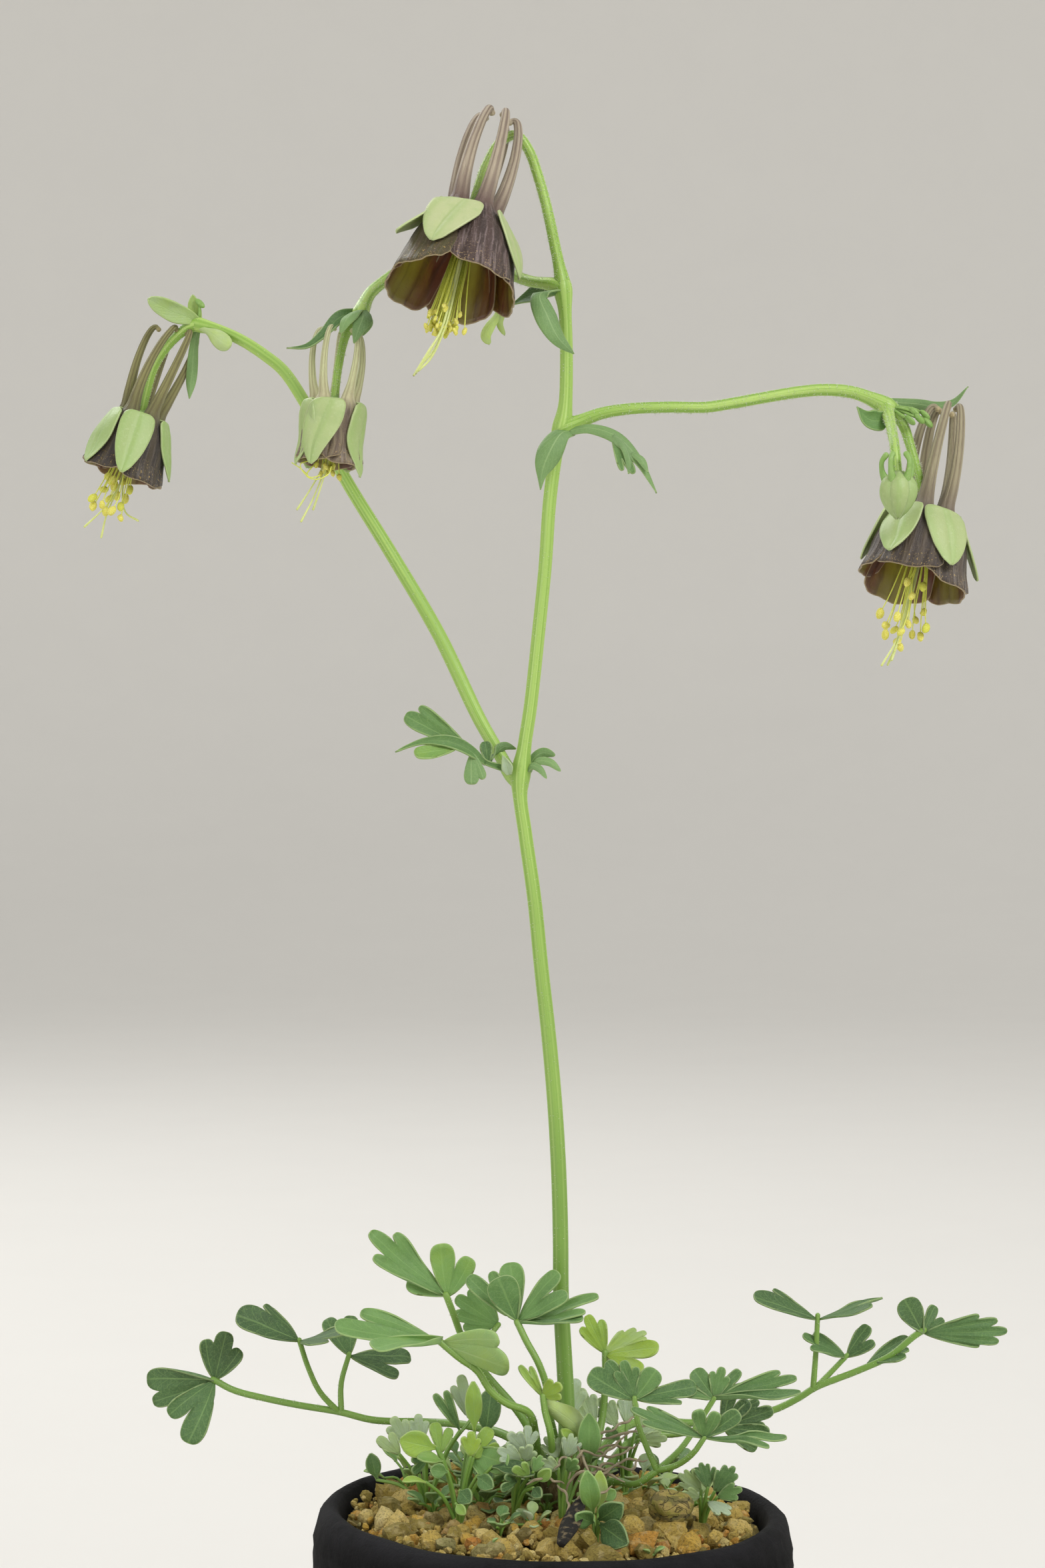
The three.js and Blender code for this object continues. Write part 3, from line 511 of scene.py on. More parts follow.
def sepal_finish(settings):
    """Pale celery green, faintly striped along its veins, greener at the tip and the middle."""
    look = Look("sepal")
    along, across, rim, tone = look.marks()
    bend = look.noise(2.4, detail=2) * 0.1
    stripe = ((across + bend) * 7.0 * (1.1 - along * 0.4)).wave() ** 3.0
    middle = across.math("ABSOLUTE").between(0.1, 0.0)
    base = look.mix(tone, settings.sepal_colour, "7FA452")
    base = look.coats(
        base, (along.between(0.68, 1.0) * 0.25, "8FB062"),
        ((stripe * 0.32 + middle * 0.3).clamped(), "8CAD5C"),
        (look.noise(0.5, detail=4).between(0.5, 0.8) * 0.3, "C4CEA2"),
        (look.noise(2.6, detail=2).between(0.5, 0.75) * 0.4, "97B070"),
        (rim.between(0.13, 0.03) * 0.3, "D2DCAE"))
    height = stripe * 0.4 + look.noise(0.3, detail=3) * 0.5 + look.noise(1.8) * 0.6
    return look.finish(base, 0.5, height, 0.1, glow=0.14)


# Colours of each flower's petals: bead of the spur, spur, its lines, throat, blade, silver frost with
# painted sheen on the blade's crests, and the blade of the first petal.
PETAL_COLOURS = {
    "top": ("D6C8A4", "B5A791", "5A433C", "6E5A50", "35241F", "9A8786", "4B4620"),
    "upper": ("C9D08A", "D3D6A4", "9A8E6C", "C4BE98", "67584A", "A2958A", "67584A"),
    "left": ("CDB98A", "8E8A58", "574A2C", "6E6A44", "332B28", "665C55", "332B28"),
    "right": ("CDB98A", "A89E80", "6B5C4A", "7D7062", "3C322D", "8A8077", "3C322D"),
}


def petal_finish(name):
    """Outside of a petal: a lined, taupe spur that darkens to a brown blade with silver frost and painted
    sheen on its crests.
    """
    look = Look(f"{name}_petal_outside")
    bead, spur, line, throat, blade, frost_and_sheen_colour, first = PETAL_COLOURS[name]
    along, across, rim, tone = look.marks()
    flow = look.vector(across * 7.0, along * 9.0, tone * 20.0)
    warp = look.noise(1.0, detail=2, where=flow)
    lines = ((across * 23.0 + warp * 2.4).wave() ** 1.6).clamped()
    pleats = look.vector(across * 15.0, along * 9.0, tone * 20.0)
    fold = look.noise(1.0, detail=4, rough=0.6, where=pleats)
    crinkle = look.noise(0.34, detail=4, rough=0.7, warp=0.4)
    leading = tone.between(0.2, 0.12)
    base = look.ramp(along, [(0.0, bead), (0.05, spur), (0.5, spur), (0.64, throat), (0.74, blade)])
    base = look.coats(
        base, (leading * along.between(0.64, 0.8) * 0.8, first),
        (lines * along.between(0.02, 0.12) * (0.8 - along * 0.5), line))
    late = along.between(0.58, 0.74)
    # Painted sheen: a silver colour on the blade's fold crests and crinkles, partly its real frost.
    frost_and_painted_sheen = (fold.between(0.48, 0.7) * 0.75 + crinkle.between(0.5, 0.72) * 0.45).clamped() * late
    base = look.mix(frost_and_painted_sheen * (0.66 - leading * 0.56), base, frost_and_sheen_colour)
    glint = crinkle.between(0.58, 0.66) * along.between(0.9, 0.99)
    base = look.coats(base, (glint * 0.7, "C9A860"), (rim.between(0.13, 0.04) * 0.6, "B7A27C"))
    height = fold * 0.9 + crinkle * 0.3 + lines * 0.14
    return look.finish(base, 0.56 - frost_and_painted_sheen * 0.22, height, 0.34, glow=0.06, sheen_weight=0.12,
                       sheen_roughness=0.4)


def lining_finish(name):
    """Inside of a petal: olive in the middle, red-brown to the edge, with dark branching veins."""
    look = Look(f"{name}_petal_inside")
    along, across, rim, tone = look.marks()
    warp = look.noise(1.0, detail=3, where=look.vector(across * 6.0, along * 12.0, tone * 20.0))
    veins = ((across * 17.0 + warp * 4.0).wave() ** 4.0).clamped()
    patch = look.noise(1.7, detail=3)
    centre = (across.between(0.55, 0.05) + patch * 0.5 - 0.25).clamped()
    base = look.mix(centre, "6E3C26", "8A8036")
    base = look.coats(
        base, (along.between(0.86, 1.0) * 0.5, "43302B"), (veins * 0.62, "40221A"),
        (rim.between(0.2, 0.06) * 0.6, "A8957A"))
    height = veins * 0.5 + look.noise(0.3, detail=3) * 0.3
    return look.finish(base, 0.42, height, 0.12, glow=0.25)


def stamen_finishes():
    """Pale filaments, dusty yellow anthers and styles whose tips are brown."""
    look = Look("filament")
    base = look.mix(look.mark("along").between(0.1, 0.9), "BCC94A", "DDE36A")
    base = look.mix(look.noise(0.4).between(0.4, 0.7) * 0.4, base, "A9B63C")
    filament = look.finish(base, 0.45, glow=0.35)
    look = Look("anther")
    dust = look.noise(0.13, detail=4)
    base = look.mix(dust.between(0.4, 0.7), "D9D048", "F2EE9C")
    base = look.coats(
        base, (look.mark("across").between(0.12, 0.0) * 0.6, "A79A2C"),
        (look.mark("tone").between(0.5, 1.0) * 0.5, "C9D63E"))
    anther = look.finish(base, 0.75, dust, 0.12, glow=0.15)
    look = Look("style")
    tip = look.mark("along").between(0.88, 0.97) * look.mark("tone")
    base = look.mix(look.noise(0.5), "D5DC9C", "B9C66A")
    base = look.mix(tip, base, "5B4526")
    style = look.finish(base, 0.45, glow=0.3)
    return filament, anther, style


def gravel_finish():
    """Dry pumice and baked clay: each grain has its own shade, pitted and dusty."""
    look = Look("gravel")
    base = look.ramp(look.mark("tone"), [
        (0.0, "5E5430"), (0.18, "A08E44"), (0.4, "CDB05A"), (0.55, "E6D28C"), (0.7, "D4B04C"),
        (0.84, "C8883A"), (0.93, "9A945C"), (1.0, "F0EAD2")])
    pits = look.noise(0.35, detail=6, rough=0.7)
    dust = look.noise(1.3, detail=4)
    base = look.coats(
        base, (pits.between(0.52, 0.35) * 0.6, "5A4C26"), (dust.between(0.5, 0.72) * 0.4, "D9C793"))
    return look.finish(base, 0.82 + pits * 0.14, pits + look.cells(0.6) * 0.4, 0.5)


def stone_finish():
    """The large stone: olive and tan, with dark bands and cracks."""
    look = Look("stone")
    band = (look.height() * 2.2 + look.noise(2.6, detail=3) * 9.0).wave()
    cloud = look.noise(3.4, detail=3, warp=1.2)
    crack = cloud.between(0.47, 0.5) * cloud.between(0.53, 0.5)
    grit = look.noise(0.4, detail=6, rough=0.7)
    base = look.mix(look.noise(1.4, detail=4).between(0.35, 0.65), "97903F", "B5A05E")
    base = look.coats(
        base, (band.between(0.62, 0.85) * 0.65, "605C3C"), (crack * 0.7, "38341F"),
        (grit.between(0.6, 0.75) * 0.4, "C2B27C"))
    return look.finish(base, 0.8 + grit * 0.15, grit - crack * 0.8 - band * 0.3, 0.5)


def pot_finish(settings):
    """Black unglazed ware: coarse clay, dull wiped patches and a greyer rim band of grey dust and painted
    sheen.
    """
    look = Look("pot")
    grit = look.noise(0.5, detail=6, rough=0.7)
    wipe = look.noise(9.0, detail=5, warp=0.6)
    rim_dust_and_sheen = look.mark("rim")
    base = look.mix(wipe.between(0.35, 0.75) * 0.6, settings.pot_colour, "0F0E10")
    base = look.coats(
        base, (grit.between(0.62, 0.8) * 0.3, "201E21"),
        # The greyer rim band: grey dust, partly a painted sheen.
        ((rim_dust_and_sheen * wipe.between(0.25, 0.6) * 0.4).clamped(), "2C2B30"),
        (look.noise(0.9, detail=2).between(0.72, 0.8) * 0.4, "4A3E30"))
    height = grit + look.noise(2.2, detail=3) * 0.8
    return look.finish(base, 0.84 - rim_dust_and_sheen * 0.14 + grit * 0.12, height, 0.4, specular_ior_level=0.18)


def soil_finish():
    """Dark crumbly potting soil with pale specks."""
    look = Look("soil")
    crumb = look.noise(1.2, detail=7, rough=0.75)
    base = look.mix(crumb.between(0.3, 0.7), "20160E", "4B3826")
    base = look.mix(look.cells(1.8).between(0.2, 0.1), base, "A08B6A")
    return look.finish(base, 0.95, crumb + look.cells(1.4) * 0.5, 0.8)


def wood_finish(name, dark, light):
    """Dry brown fibre, streaked along its length."""
    look = Look(name)
    along, across, tone = look.marks("along", "across", "tone")
    streak = look.noise(0.3, detail=4, where=look.vector(across * 5.0, along * 1.5, tone * 20.0))
    base = look.mix(streak.between(0.3, 0.7), dark, light)
    base = look.mix(look.noise(1.1, detail=4).between(0.5, 0.75) * 0.5, base, "B7A37A")
    return look.finish(base, 0.85, streak + look.noise(0.4, detail=4) * 0.5, 0.25)


def floor_finish(settings):
    """A pale, matt studio sweep with the faintest mottle."""
    look = Look("floor")
    base = look.mix(look.noise(60.0, detail=3) * 0.25, settings.floor_colour, "D8D6D2")
    return look.finish(base, 0.9)


def finish_once(name, build, *arguments):
    """The finish of that name, built when it is first asked for."""
    if f"fine_{name}" not in bpy.data.materials:
        build(*arguments)
    return bpy.data.materials[f"fine_{name}"]


def stem_finishes(settings):
    """Stem and hair, in the order that stems number them."""
    return [finish_once("stem", stem_finish, settings), finish_once("hair", hair_finish)]


def green_finishes(settings):
    """Leaf above, leaf below, stem and hair, in the order that leaf pieces number them."""
    skins = [finish_once(name, leaf_finish, settings, name) for name in LEAF_SKINS]
    return skins + stem_finishes(settings)


# ---- Stems and hairs ----
HAIR_RADIUS = 0.042
HAIR_LEAN = 0.45  # how far hairs lean out of square, at random
HAIR_FACES = [np.array(((0, 1, 3), (1, 2, 3), (2, 0, 3), (2, 1, 0)))]


def hairs(piece, path, radius, count, reach, kind, seed):
    """Tapering three-sided hairs that stand out from a tube at even random places.

    A hair's root lies on the tube; its way is the tube's radius there, leant a little."""
    rng = np.random.default_rng(seed)
    along, across, up = axes_along(path, FRONT)
    spot = rng.uniform(0, len(path) - 1, count)
    k = spot.astype(int)
    share = (spot - k)[:, None]
    turn = rng.uniform(-np.pi, np.pi, count)[:, None]
    centre = path[k] * (1 - share) + path[k + 1] * share
    out = np.cos(turn) * across[k] + np.sin(turn) * up[k]
    width = np.interp(spot, np.arange(len(path)), np.broadcast_to(radius, len(path)))[:, None]
    root = centre + out * width * 0.97
    way = unit(out + HAIR_LEAN * rng.normal(size=(count, 3)))
    side = unit(np.cross(way, along[k]))
    rise = np.cross(way, side)
    tip = root + way * (reach * rng.uniform(0.5, 1.15, (count, 1)))
    foot = [root + HAIR_RADIUS * (np.cos(angle) * side + np.sin(angle) * rise)
            for angle in np.radians((0, 120, 240))]
    piece.copies(np.stack((*foot, tip), 1), HAIR_FACES, kind=kind)


# Each stem: route on the drawing, radii evenly spread, hairs to a millimetre, hair length.
STEMS = {
    "main_stem": (
        [[850, 2190, 1.5], [850, 2110, 2], [842, 1950, 1], [841, 1850, 0], [838, 1750, 0], [832, 1650, 0],
         [823, 1550, 0], [812, 1450, 0], [802, 1350, 0], [788, 1250, 0], [780, 1185, 0], [787, 1120, 0],
         [796, 1060, 0], [808, 950, 0], [818, 850, 0], [825, 750, 0], [836, 670, 0], [847, 620, 0],
         [850, 550, 0], [848, 470, 0], [844, 428, 0]],
        [1.4, 1.3, 1.25, 1.2, 1.15, 1.1, 1.08, 1.1, 1.0], 6, 0.32),
    "top_stalk": (
        [[845, 440, 0], [843, 420, 0], [835, 380, 0], [820, 310, 0], [806, 260, 2], [793, 225, 3.5],
         [775, 203, 3.8], [752, 212, 2.8], [730, 248, 1], [716, 290, -2], [709, 314, -3.8]],
        [0.95, 0.9, 0.85, 0.85, 0.8, 0.85, 0.85], 34, 0.5),
    "left_branch": (
        [[782, 1176, 0.3], [766, 1160, 1], [750, 1132, 2], [720, 1080, 4], [659, 953, 8], [588, 832, 12],
         [518, 718, 16], [455, 600, 20], [425, 556, 21.5], [400, 535, 22], [365, 512, 23], [330, 496, 24],
         [296, 487, 25]], [1.0, 1.15, 1.15, 1.1, 1.05, 1.0, 0.95], 5, 0.32),
    "left_stalk": (
        [[296, 487, 25], [283, 491, 25], [264, 506, 25], [245, 528, 25], [230, 555, 25], [220, 590, 25],
         [213, 619, 25]], [0.85, 0.76, 0.72, 0.72], 16, 0.4),
    "upper_branch": (
        [[843, 431, 0], [828, 427, 0.5], [800, 423, 3], [785, 419, 5], [740, 402, 10], [690, 393, 13],
         [640, 396, 12], [600, 407, 9], [570, 427, 6], [553, 444, 3], [540, 472, 0]],
        [0.9, 0.95, 0.9, 0.9, 0.95, 1.1], 18, 0.5),
    "upper_stalk": (
        [[541, 468, 0], [534, 480, 0], [520, 500, 0], [508, 550, 0], [502, 599, -1]],
        [0.9, 0.7, 0.65, 0.65], 24, 0.42),
    "right_branch": (
        [[844, 644, 0], [865, 635, 0], [900, 621, 0], [940, 614, 0], [1000, 611, 0], [1060, 611, 0],
         [1100, 605, 0], [1150, 596, 0], [1200, 588, 0], [1240, 585, -0.5], [1280, 589, -1],
         [1310, 600, -1.5], [1332, 611, -2]], [1.15, 0.95, 0.92, 0.92, 0.95, 1.0, 1.1], 24, 0.5),
    "right_stalk": (
        [[1328, 609, -1.6], [1340, 614, -1.5], [1356, 640, -2.4], [1366, 670, -3.8], [1376, 705, -4.6],
         [1385, 738, -4.2], [1391, 764, -3.2]], [0.95, 0.85, 0.75, 0.7, 0.7], 34, 0.55),
    "bud_stalk": (
        [[1328, 610, -2], [1332, 621, -3.6], [1338, 645, -8], [1343, 675, -12.4], [1346, 710, -13.8]],
        [0.95, 0.85, 0.8, 0.8], 30, 0.45),
}
ROW_STEP = 0.8  # millimetres between the rings of a stem
# Swellings where stems fork: place on the drawing, and how much the stem thickens there.
FORKS = [([783, 1160, 0], 0.5), ([845, 640, 0], 0.42), ([844, 434, 0], 0.55),
         ([296, 487, 25], 0.4), ([540, 474, 0], 0.3), ([1330, 611, -2], 0.4)]
FORK_REACH = 2.6  # millimetres over which a swelling fades


def stem_path(route, radii):
    """A stem's middle line and its radii, thickened near each fork by a bell-shaped swelling."""
    places = at(route)
    path = smooth(places, max(int(length_of(places) / ROW_STEP), 8))
    radius = evenly(radii, len(path))
    for place, gain in FORKS:
        away = np.linalg.norm(path - at(place), axis=1)
        radius = radius * (1 + gain * np.exp(-(away / FORK_REACH) ** 2))
    return path, radius


def ridges(turn):
    """Five soft ridges with a shallow flute between them."""
    return 0.05 * np.cos(5 * turn) + 0.02 * np.cos(11 * turn + 1)


# ---- Flowers ----
# Each hangs from its receptacle at place. Angles are in degrees: lean is the tilt of its mouth to
# the left, nod the tilt to the front, turn the angle of the first petal from the front, and twist
# how far round each spur is pushed. Lengths are in millimetres: spur, blade (lengths are each
# petal's share of it), mouth (the bell's radius at the rim), anthers (how far down they hang), drop
# (how far the sepals start below the receptacle) and splay (how far each spur leans to the right).
# neck widens the ring of spurs, slim thins them, girth scales the whole bell and green is how much
# greener than the palest the sepals are. A sepal is its turn on the way to its tip, its opening,
# its bend, its length, its half width and how far it wraps round the bell.
FLOWERS = {
    "top": dict(
        place=[709, 319, -4], lean=14, nod=19, turn=-45, twist=[13, -7, -14, -21, 17],
        spur=18.6, slim=0.95, splay=[0, 0, 0, 0, 0], neck=1, girth=1, green=0.0, drop=0.9,
        blade=14.2, lengths=[1.08, 1.0, 1.02, 1.04, 1.14], mouth=10, anthers=21,
        sepals=[(-16, 8, 8, 15.2, 3.95, 0.2), (12, 27, 0, 16.2, 4.1, 0.3), (0, 36, 20, 13, 3.8, 0.6),
                (0, 36, 20, 13, 3.8, 0.6), (21, 37, -4, 16.2, 3.3, 0.3)]),
    "upper": dict(
        place=[502, 604, -1], lean=5, nod=3, turn=-30, twist=[0, 0, 0, 0, 0],
        spur=12.4, slim=0.68, splay=[0, 0.6, 0, 0, -0.6], neck=1.3, girth=0.74, green=0.3, drop=0,
        blade=10.4, lengths=[0.98, 1.02, 1, 1, 0.98], mouth=4.7, anthers=11,
        sepals=[(-34, 8, 30, 14.8, 2.75, 0.8), (-8, 2, 20, 15.6, 3.2, 1), (0, 2, 30, 14, 3.4, 1),
                (0, 2, 30, 14, 3.4, 1), (-2, 0, 30, 14.4, 3.3, 0.9)]),
    "left": dict(
        place=[212, 624, 25], lean=17, nod=4, turn=-30, twist=[0, -8, -8, 0, 0],
        spur=16, slim=0.8, splay=[2.6, 2.6, 2.4, 0.6, 0], neck=1, girth=0.86, green=0.45, drop=0,
        blade=11, lengths=[1, 1.06, 1, 1, 0.94], mouth=6.4, anthers=16,
        sepals=[(0, 18, 10, 16.0, 2.8, 0.7), (8, 20, 10, 14.2, 3, 0.8), (0, 24, 20, 12, 3.2, 0.8),
                (0, 24, 20, 12, 3.2, 0.8), (12, 15, 0, 15, 3.5, 0.5)]),
    "right": dict(
        place=[1392, 769, -3], lean=13, nod=9, turn=-20, twist=[6, -28, 36, 20, -16],
        spur=18.4, slim=0.88, splay=[0, 0, 0, 0, 0], neck=1, girth=0.95, green=0.25, drop=0,
        blade=11.6, lengths=[1, 1.1, 1.12, 1.2, 1.04], mouth=8.4, anthers=20,
        sepals=[(12, 25, 14, 15.4, 3.5, 0.5), (-3, 28, 12, 15.4, 3.1, 0.6), (0, 36, 20, 12.5, 3.6, 0.6),
                (30, 18, 14, 14.4, 3.2, 0.7), (20, 25, 14, 15, 3.4, 0.5)]),
}
PETALS = 5
PETAL_STEP = 2 * np.pi / PETALS
PETAL_THICKNESS, SEPAL_THICKNESS, LEAF_THICKNESS = 0.22, 0.32, 0.3
OUTER_RADIUS = 9.9  # of the rim that the stations below give


def flower_frame(flower):
    """The flower's place and its axes as rows: right, back and from the mouth to the spurs."""
    lean, nod = np.radians((flower["lean"], -flower["nod"]))
    c, s = np.cos(lean), np.sin(lean)
    leant = np.array(((c, 0, s), (0, 1, 0), (-s, 0, c)))
    c, s = np.cos(nod), np.sin(nod)
    return at(flower["place"]), (leant @ ((1, 0, 0), (0, c, -s), (0, s, c))).T


def polar(flower, radius, angle, height):
    """Points of a flower: radius from its axis, angle from the front to the right, height."""
    place, axes = flower_frame(flower)
    return place + joined(radius * np.sin(angle), -radius * np.cos(angle), height) @ axes


# Stations of a petal from the spur's tip to the rim: station, radius of its middle line from
# the flower's axis, height as a share of the spur (above 0) or the blade (below), half depth,
# half width, half arc of the section in degrees.
PETAL_STATIONS = np.array((
    (0.00, 1.75, 0.950, 0.00, 0.00, 180), (0.010, 1.80, 0.952, 0.32, 0.32, 180),
    (0.024, 2.00, 0.960, 0.48, 0.48, 180), (0.042, 2.30, 0.972, 0.38, 0.38, 180),
    (0.07, 2.65, 0.982, 0.44, 0.44, 180), (0.12, 3.25, 0.965, 0.56, 0.58, 180),
    (0.18, 3.75, 0.900, 0.64, 0.68, 180), (0.26, 4.15, 0.79, 0.70, 0.76, 180),
    (0.35, 4.40, 0.62, 0.78, 0.84, 180), (0.45, 4.35, 0.43, 0.92, 0.98, 180),
    (0.55, 4.00, 0.22, 1.12, 1.18, 180), (0.63, 3.50, 0.05, 1.38, 1.46, 178),
    (0.70, 3.65, -0.08, 1.95, 2.35, 150), (0.78, 4.35, -0.23, 2.65, 3.70, 118),
    (0.86, 5.25, -0.46, 3.30, 4.90, 98), (0.94, 5.95, -0.75, 3.45, 5.70, 88),
    (1.00, 6.50, -1.00, 3.40, 6.10, 84)))


def petal_line(flower, u):
    """A petal's middle line in its radial plane, and its sections, at stations u."""
    radius, height, deep, wide, arc = through(PETAL_STATIONS[:, 0], PETAL_STATIONS[:, 1:], u).T
    girth, neck = flower["girth"], 1 + (flower["neck"] - 1) * (1 - smoothstep(0.66, 0.9, u))
    radius = radius * girth * neck + (flower["mouth"] - OUTER_RADIUS * girth) * smoothstep(0.66, 1.0, u)
    height = height * np.where(height > 0, flower["spur"], flower["blade"])
    section = girth * (1 - (1 - flower["slim"]) * (1 - smoothstep(0.5, 0.72, u)))
    return radius, height, deep * section, wide * section, np.radians(arc)


def bell_radius(flower, height):
    """The bell's outer radius at heights below the receptacle."""
    radius, level, deep, _, _ = petal_line(flower, np.linspace(0.62, 1.0, 40))
    return np.interp(height, level[::-1], (radius + deep)[::-1])


def petal_grid(flower, index, rows=72, columns=43):
    """A flared tube that a slanting cut opens into one blade of the bell.

    Row by row the section is part of an ellipse about a middle line in the petal's own radial
    plane; in the spur it is whole and square to that line, in the blade it is an open arc."""
    u = np.linspace(0, 1, rows) ** 1.08
    v = np.linspace(-1, 1, columns)[None]
    girth = flower["girth"]
    radius, height, deep, wide, arc = petal_line(flower, u)
    height = np.where(height > 0, height, height * flower["lengths"][index])
    opened = smoothstep(0.62, 0.80, u)
    square = unit(joined(-np.gradient(height), np.gradient(radius)))
    square = unit(square * (1 - opened)[:, None] + np.array((1.0, 0.0)) * opened[:, None])
    angle = arc[:, None] * v
    ribs = 1 + 0.04 * np.cos(9 * angle) * smoothstep(0.1, 0.3, u)[:, None] * (1 - opened)[:, None]
    away = deep[:, None] * np.cos(angle) * ribs
    aside = wide[:, None] * np.sin(angle) * ribs
    phase = 5.0 * index + 2.0 * girth
    late = smoothstep(0.74, 1.0, u)[:, None]
    wave = 0.09 * np.sin(13 * v + phase + 5 * u[:, None]) + 0.16 * np.sin(5.5 * v + 2 * phase)
    pleat = 0.07 * np.sin(27 * v + 2.2 * np.sin(11 * u[:, None] + phase) + phase)
    wave = wave * late + pleat * opened[:, None]
    flare = 0.6 * girth * smoothstep(0.93, 1.0, u)[:, None] * (1 - 0.5 * v ** 2)
    out = radius[:, None] + away * square[:, :1] + wave + flare + 0.5 * girth * v * opened[:, None]
    rim = 1 - late * (0.15 * np.abs(v) ** 2.6 + 0.012 * np.cos(9 * v + phase))
    up = np.where(height > 0, height, 0)[:, None] + np.where(height < 0, height, 0)[:, None] * rim
    up = up + away * square[:, 1:]
    rise = np.clip(height, 0, None)[:, None] / flower["spur"]
    middle = np.radians(flower["turn"]) + index * PETAL_STEP
    swing = middle + np.radians(flower["twist"][index]) * rise + np.arctan2(aside, out)
    grid = polar(flower, np.hypot(out, aside), swing, up)
    return grid + (rise ** 1.5 * flower["splay"][index])[..., None] * (1.0, 0.0, -0.1), u


def strip(piece, path, half_widths, side, tone=0.0, thickness=LEAF_THICKNESS, under=1, cup=0.0,
          columns=13, wave=0.0, seed=0.0):
    """Adds a blade carried along a path; half_widths has a value for each place of it.

    A point is the path's place, plus its share of the half width across, plus a lift that
    grows with the square of that share."""
    along, across, _ = axes_along(path, side)
    up = np.cross(across, along)
    t = np.linspace(0, 1, len(path))
    half = np.maximum(half_widths, 0.02)[:, None]
    v = np.linspace(-1, 1, columns)[None]
    lift = cup * half * (v ** 2 - 0.35)
    lift = lift + wave * np.sin(9 * t[:, None] + 2 * v + seed) * np.abs(v) ** 1.5 * half
    grid = path[:, None] + across[:, None] * (half * v)[..., None] + up[:, None] * lift[..., None]
    piece.surface(grid, thickness=thickness, under=under, tone=tone, along=t[:, None], across=v,
                  rim=beyond(grid))


# A sepal's half width, as a share of its widest, by the share of the way along its blade.
SEPAL_STATIONS = (0.0, 0.08, 0.2, 0.36, 0.52, 0.68, 0.82, 0.93, 1.0)
SEPAL_OUTLINE = (0.42, 0.84, 1.02, 1.05, 0.99, 0.84, 0.61, 0.36, 0.06)
CLAW_WIDTH, CLAW_REACH = 0.8, 3.6
CLAW_RADII, CLAW_HEIGHTS = (0.7, 2.3, 3.9), (-0.4, 0.0, 0.0)
SEPAL_GAP = 0.5  # millimetres between a sepal and the bell
SEPAL_SLANT = 1.5  # how strongly a sepal's rows tilt with its turn


def sepal(piece, flower, index, shape, tone):
    """A sepal: a claw that passes between two spurs, then an ovate blade that lies on the bell.

    The middle line is summed from short steps whose tilt from straight down changes evenly,
    and is then held outside the bell. A point off that line drops back towards the flower's
    axis as the square of its share of the width, which wraps the blade round the bell."""
    turn, fall, bend, reach, half, wrap = shape
    girth = flower["girth"]
    claw = np.radians(flower["turn"]) + (index + 0.5) * PETAL_STEP
    steps, rows = 12, 38
    tilt = np.radians(fall + bend * (0.5 - (np.arange(steps) + 0.5) / steps)
                      + 46 * np.exp(-np.arange(steps) / 1.1))
    claw_reach = CLAW_REACH * girth
    run = (reach - claw_reach) / steps
    claw_radii = np.array(CLAW_RADII) * girth
    radii = np.concatenate((claw_radii, claw_radii[-1] + np.cumsum(run * np.sin(tilt))))
    heights = np.concatenate((CLAW_HEIGHTS, 0.0 - np.cumsum(run * np.cos(tilt)))) - flower["drop"]
    radius, height, _ = smooth(joined(radii, heights, 0), rows).T
    t = np.linspace(0, 1, rows)
    held = bell_radius(flower, height) + SEPAL_GAP + 0.5 * smoothstep(0.6, 1.0, t)
    radius = np.maximum(radius, held * smoothstep(2.6 * girth, 4.6 * girth, radius))
    share = (t - claw_reach / reach) / (1 - claw_reach / reach)
    on_blade = np.clip(share, 0, 1)
    claw_width = CLAW_WIDTH * girth
    width = half * through(SEPAL_STATIONS, SEPAL_OUTLINE, on_blade)
    width = np.where(share < 0, claw_width, np.maximum(width, claw_width * (1 - share) ** 2))
    v = np.linspace(-1, 1, 19)[None]
    aside = width[:, None] * v
    slant = SEPAL_SLANT * np.radians(turn) * 6.5 * girth / (reach - claw_reach)
    level = height[:, None] + slant * aside * smoothstep(0.0, 0.3, on_blade)[:, None]
    wave = 0.05 * half * np.sin(8 * t[:, None] + 2 * v + index) * np.abs(v) ** 1.5
    out = radius[:, None] - wrap * aside ** 2 / (2 * np.maximum(radius, 3.0)[:, None]) + wave
    out = out - 0.08 * half * np.exp(-(v / 0.14) ** 2) * np.sin(np.pi * on_blade)[:, None]
    middle = claw + np.radians(turn) * smoothstep(-0.1, 0.9, t)
    swing = middle[:, None] + np.arctan2(aside, out)
    grid = polar(flower, np.hypot(out, aside), swing, level)
    piece.surface(grid, thickness=SEPAL_THICKNESS, tone=tone, along=t[:, None], across=v,
                  rim=beyond(grid))


def egg(centre, way, long, thick, rows=9, columns=10, groove=0.16, seed=0):
    """An oval body with a groove along it: a sphere stretched along its way and dented."""
    rng = np.random.default_rng(seed)
    way = unit(np.asarray(way, float))
    side = unit(np.cross(way, rng.normal(size=3)))
    rise = np.cross(way, side)
    fall = np.linspace(0, np.pi, rows)[:, None]
    turn = np.linspace(-np.pi, np.pi, columns + 1)[None]
    radius = thick * np.sin(fall) * (1 - groove * np.cos(2 * turn) ** 8)
    radius = radius * (1 + 0.1 * np.sin(turn * 3 + seed))
    round_it = np.cos(turn)[..., None] * side + np.sin(turn)[..., None] * rise
    grid = centre - long * np.cos(fall)[..., None] * way + radius[..., None] * round_it
    return grid, {"along": fall / np.pi, "across": np.abs(np.cos(2 * turn)), "rim": 1.0}


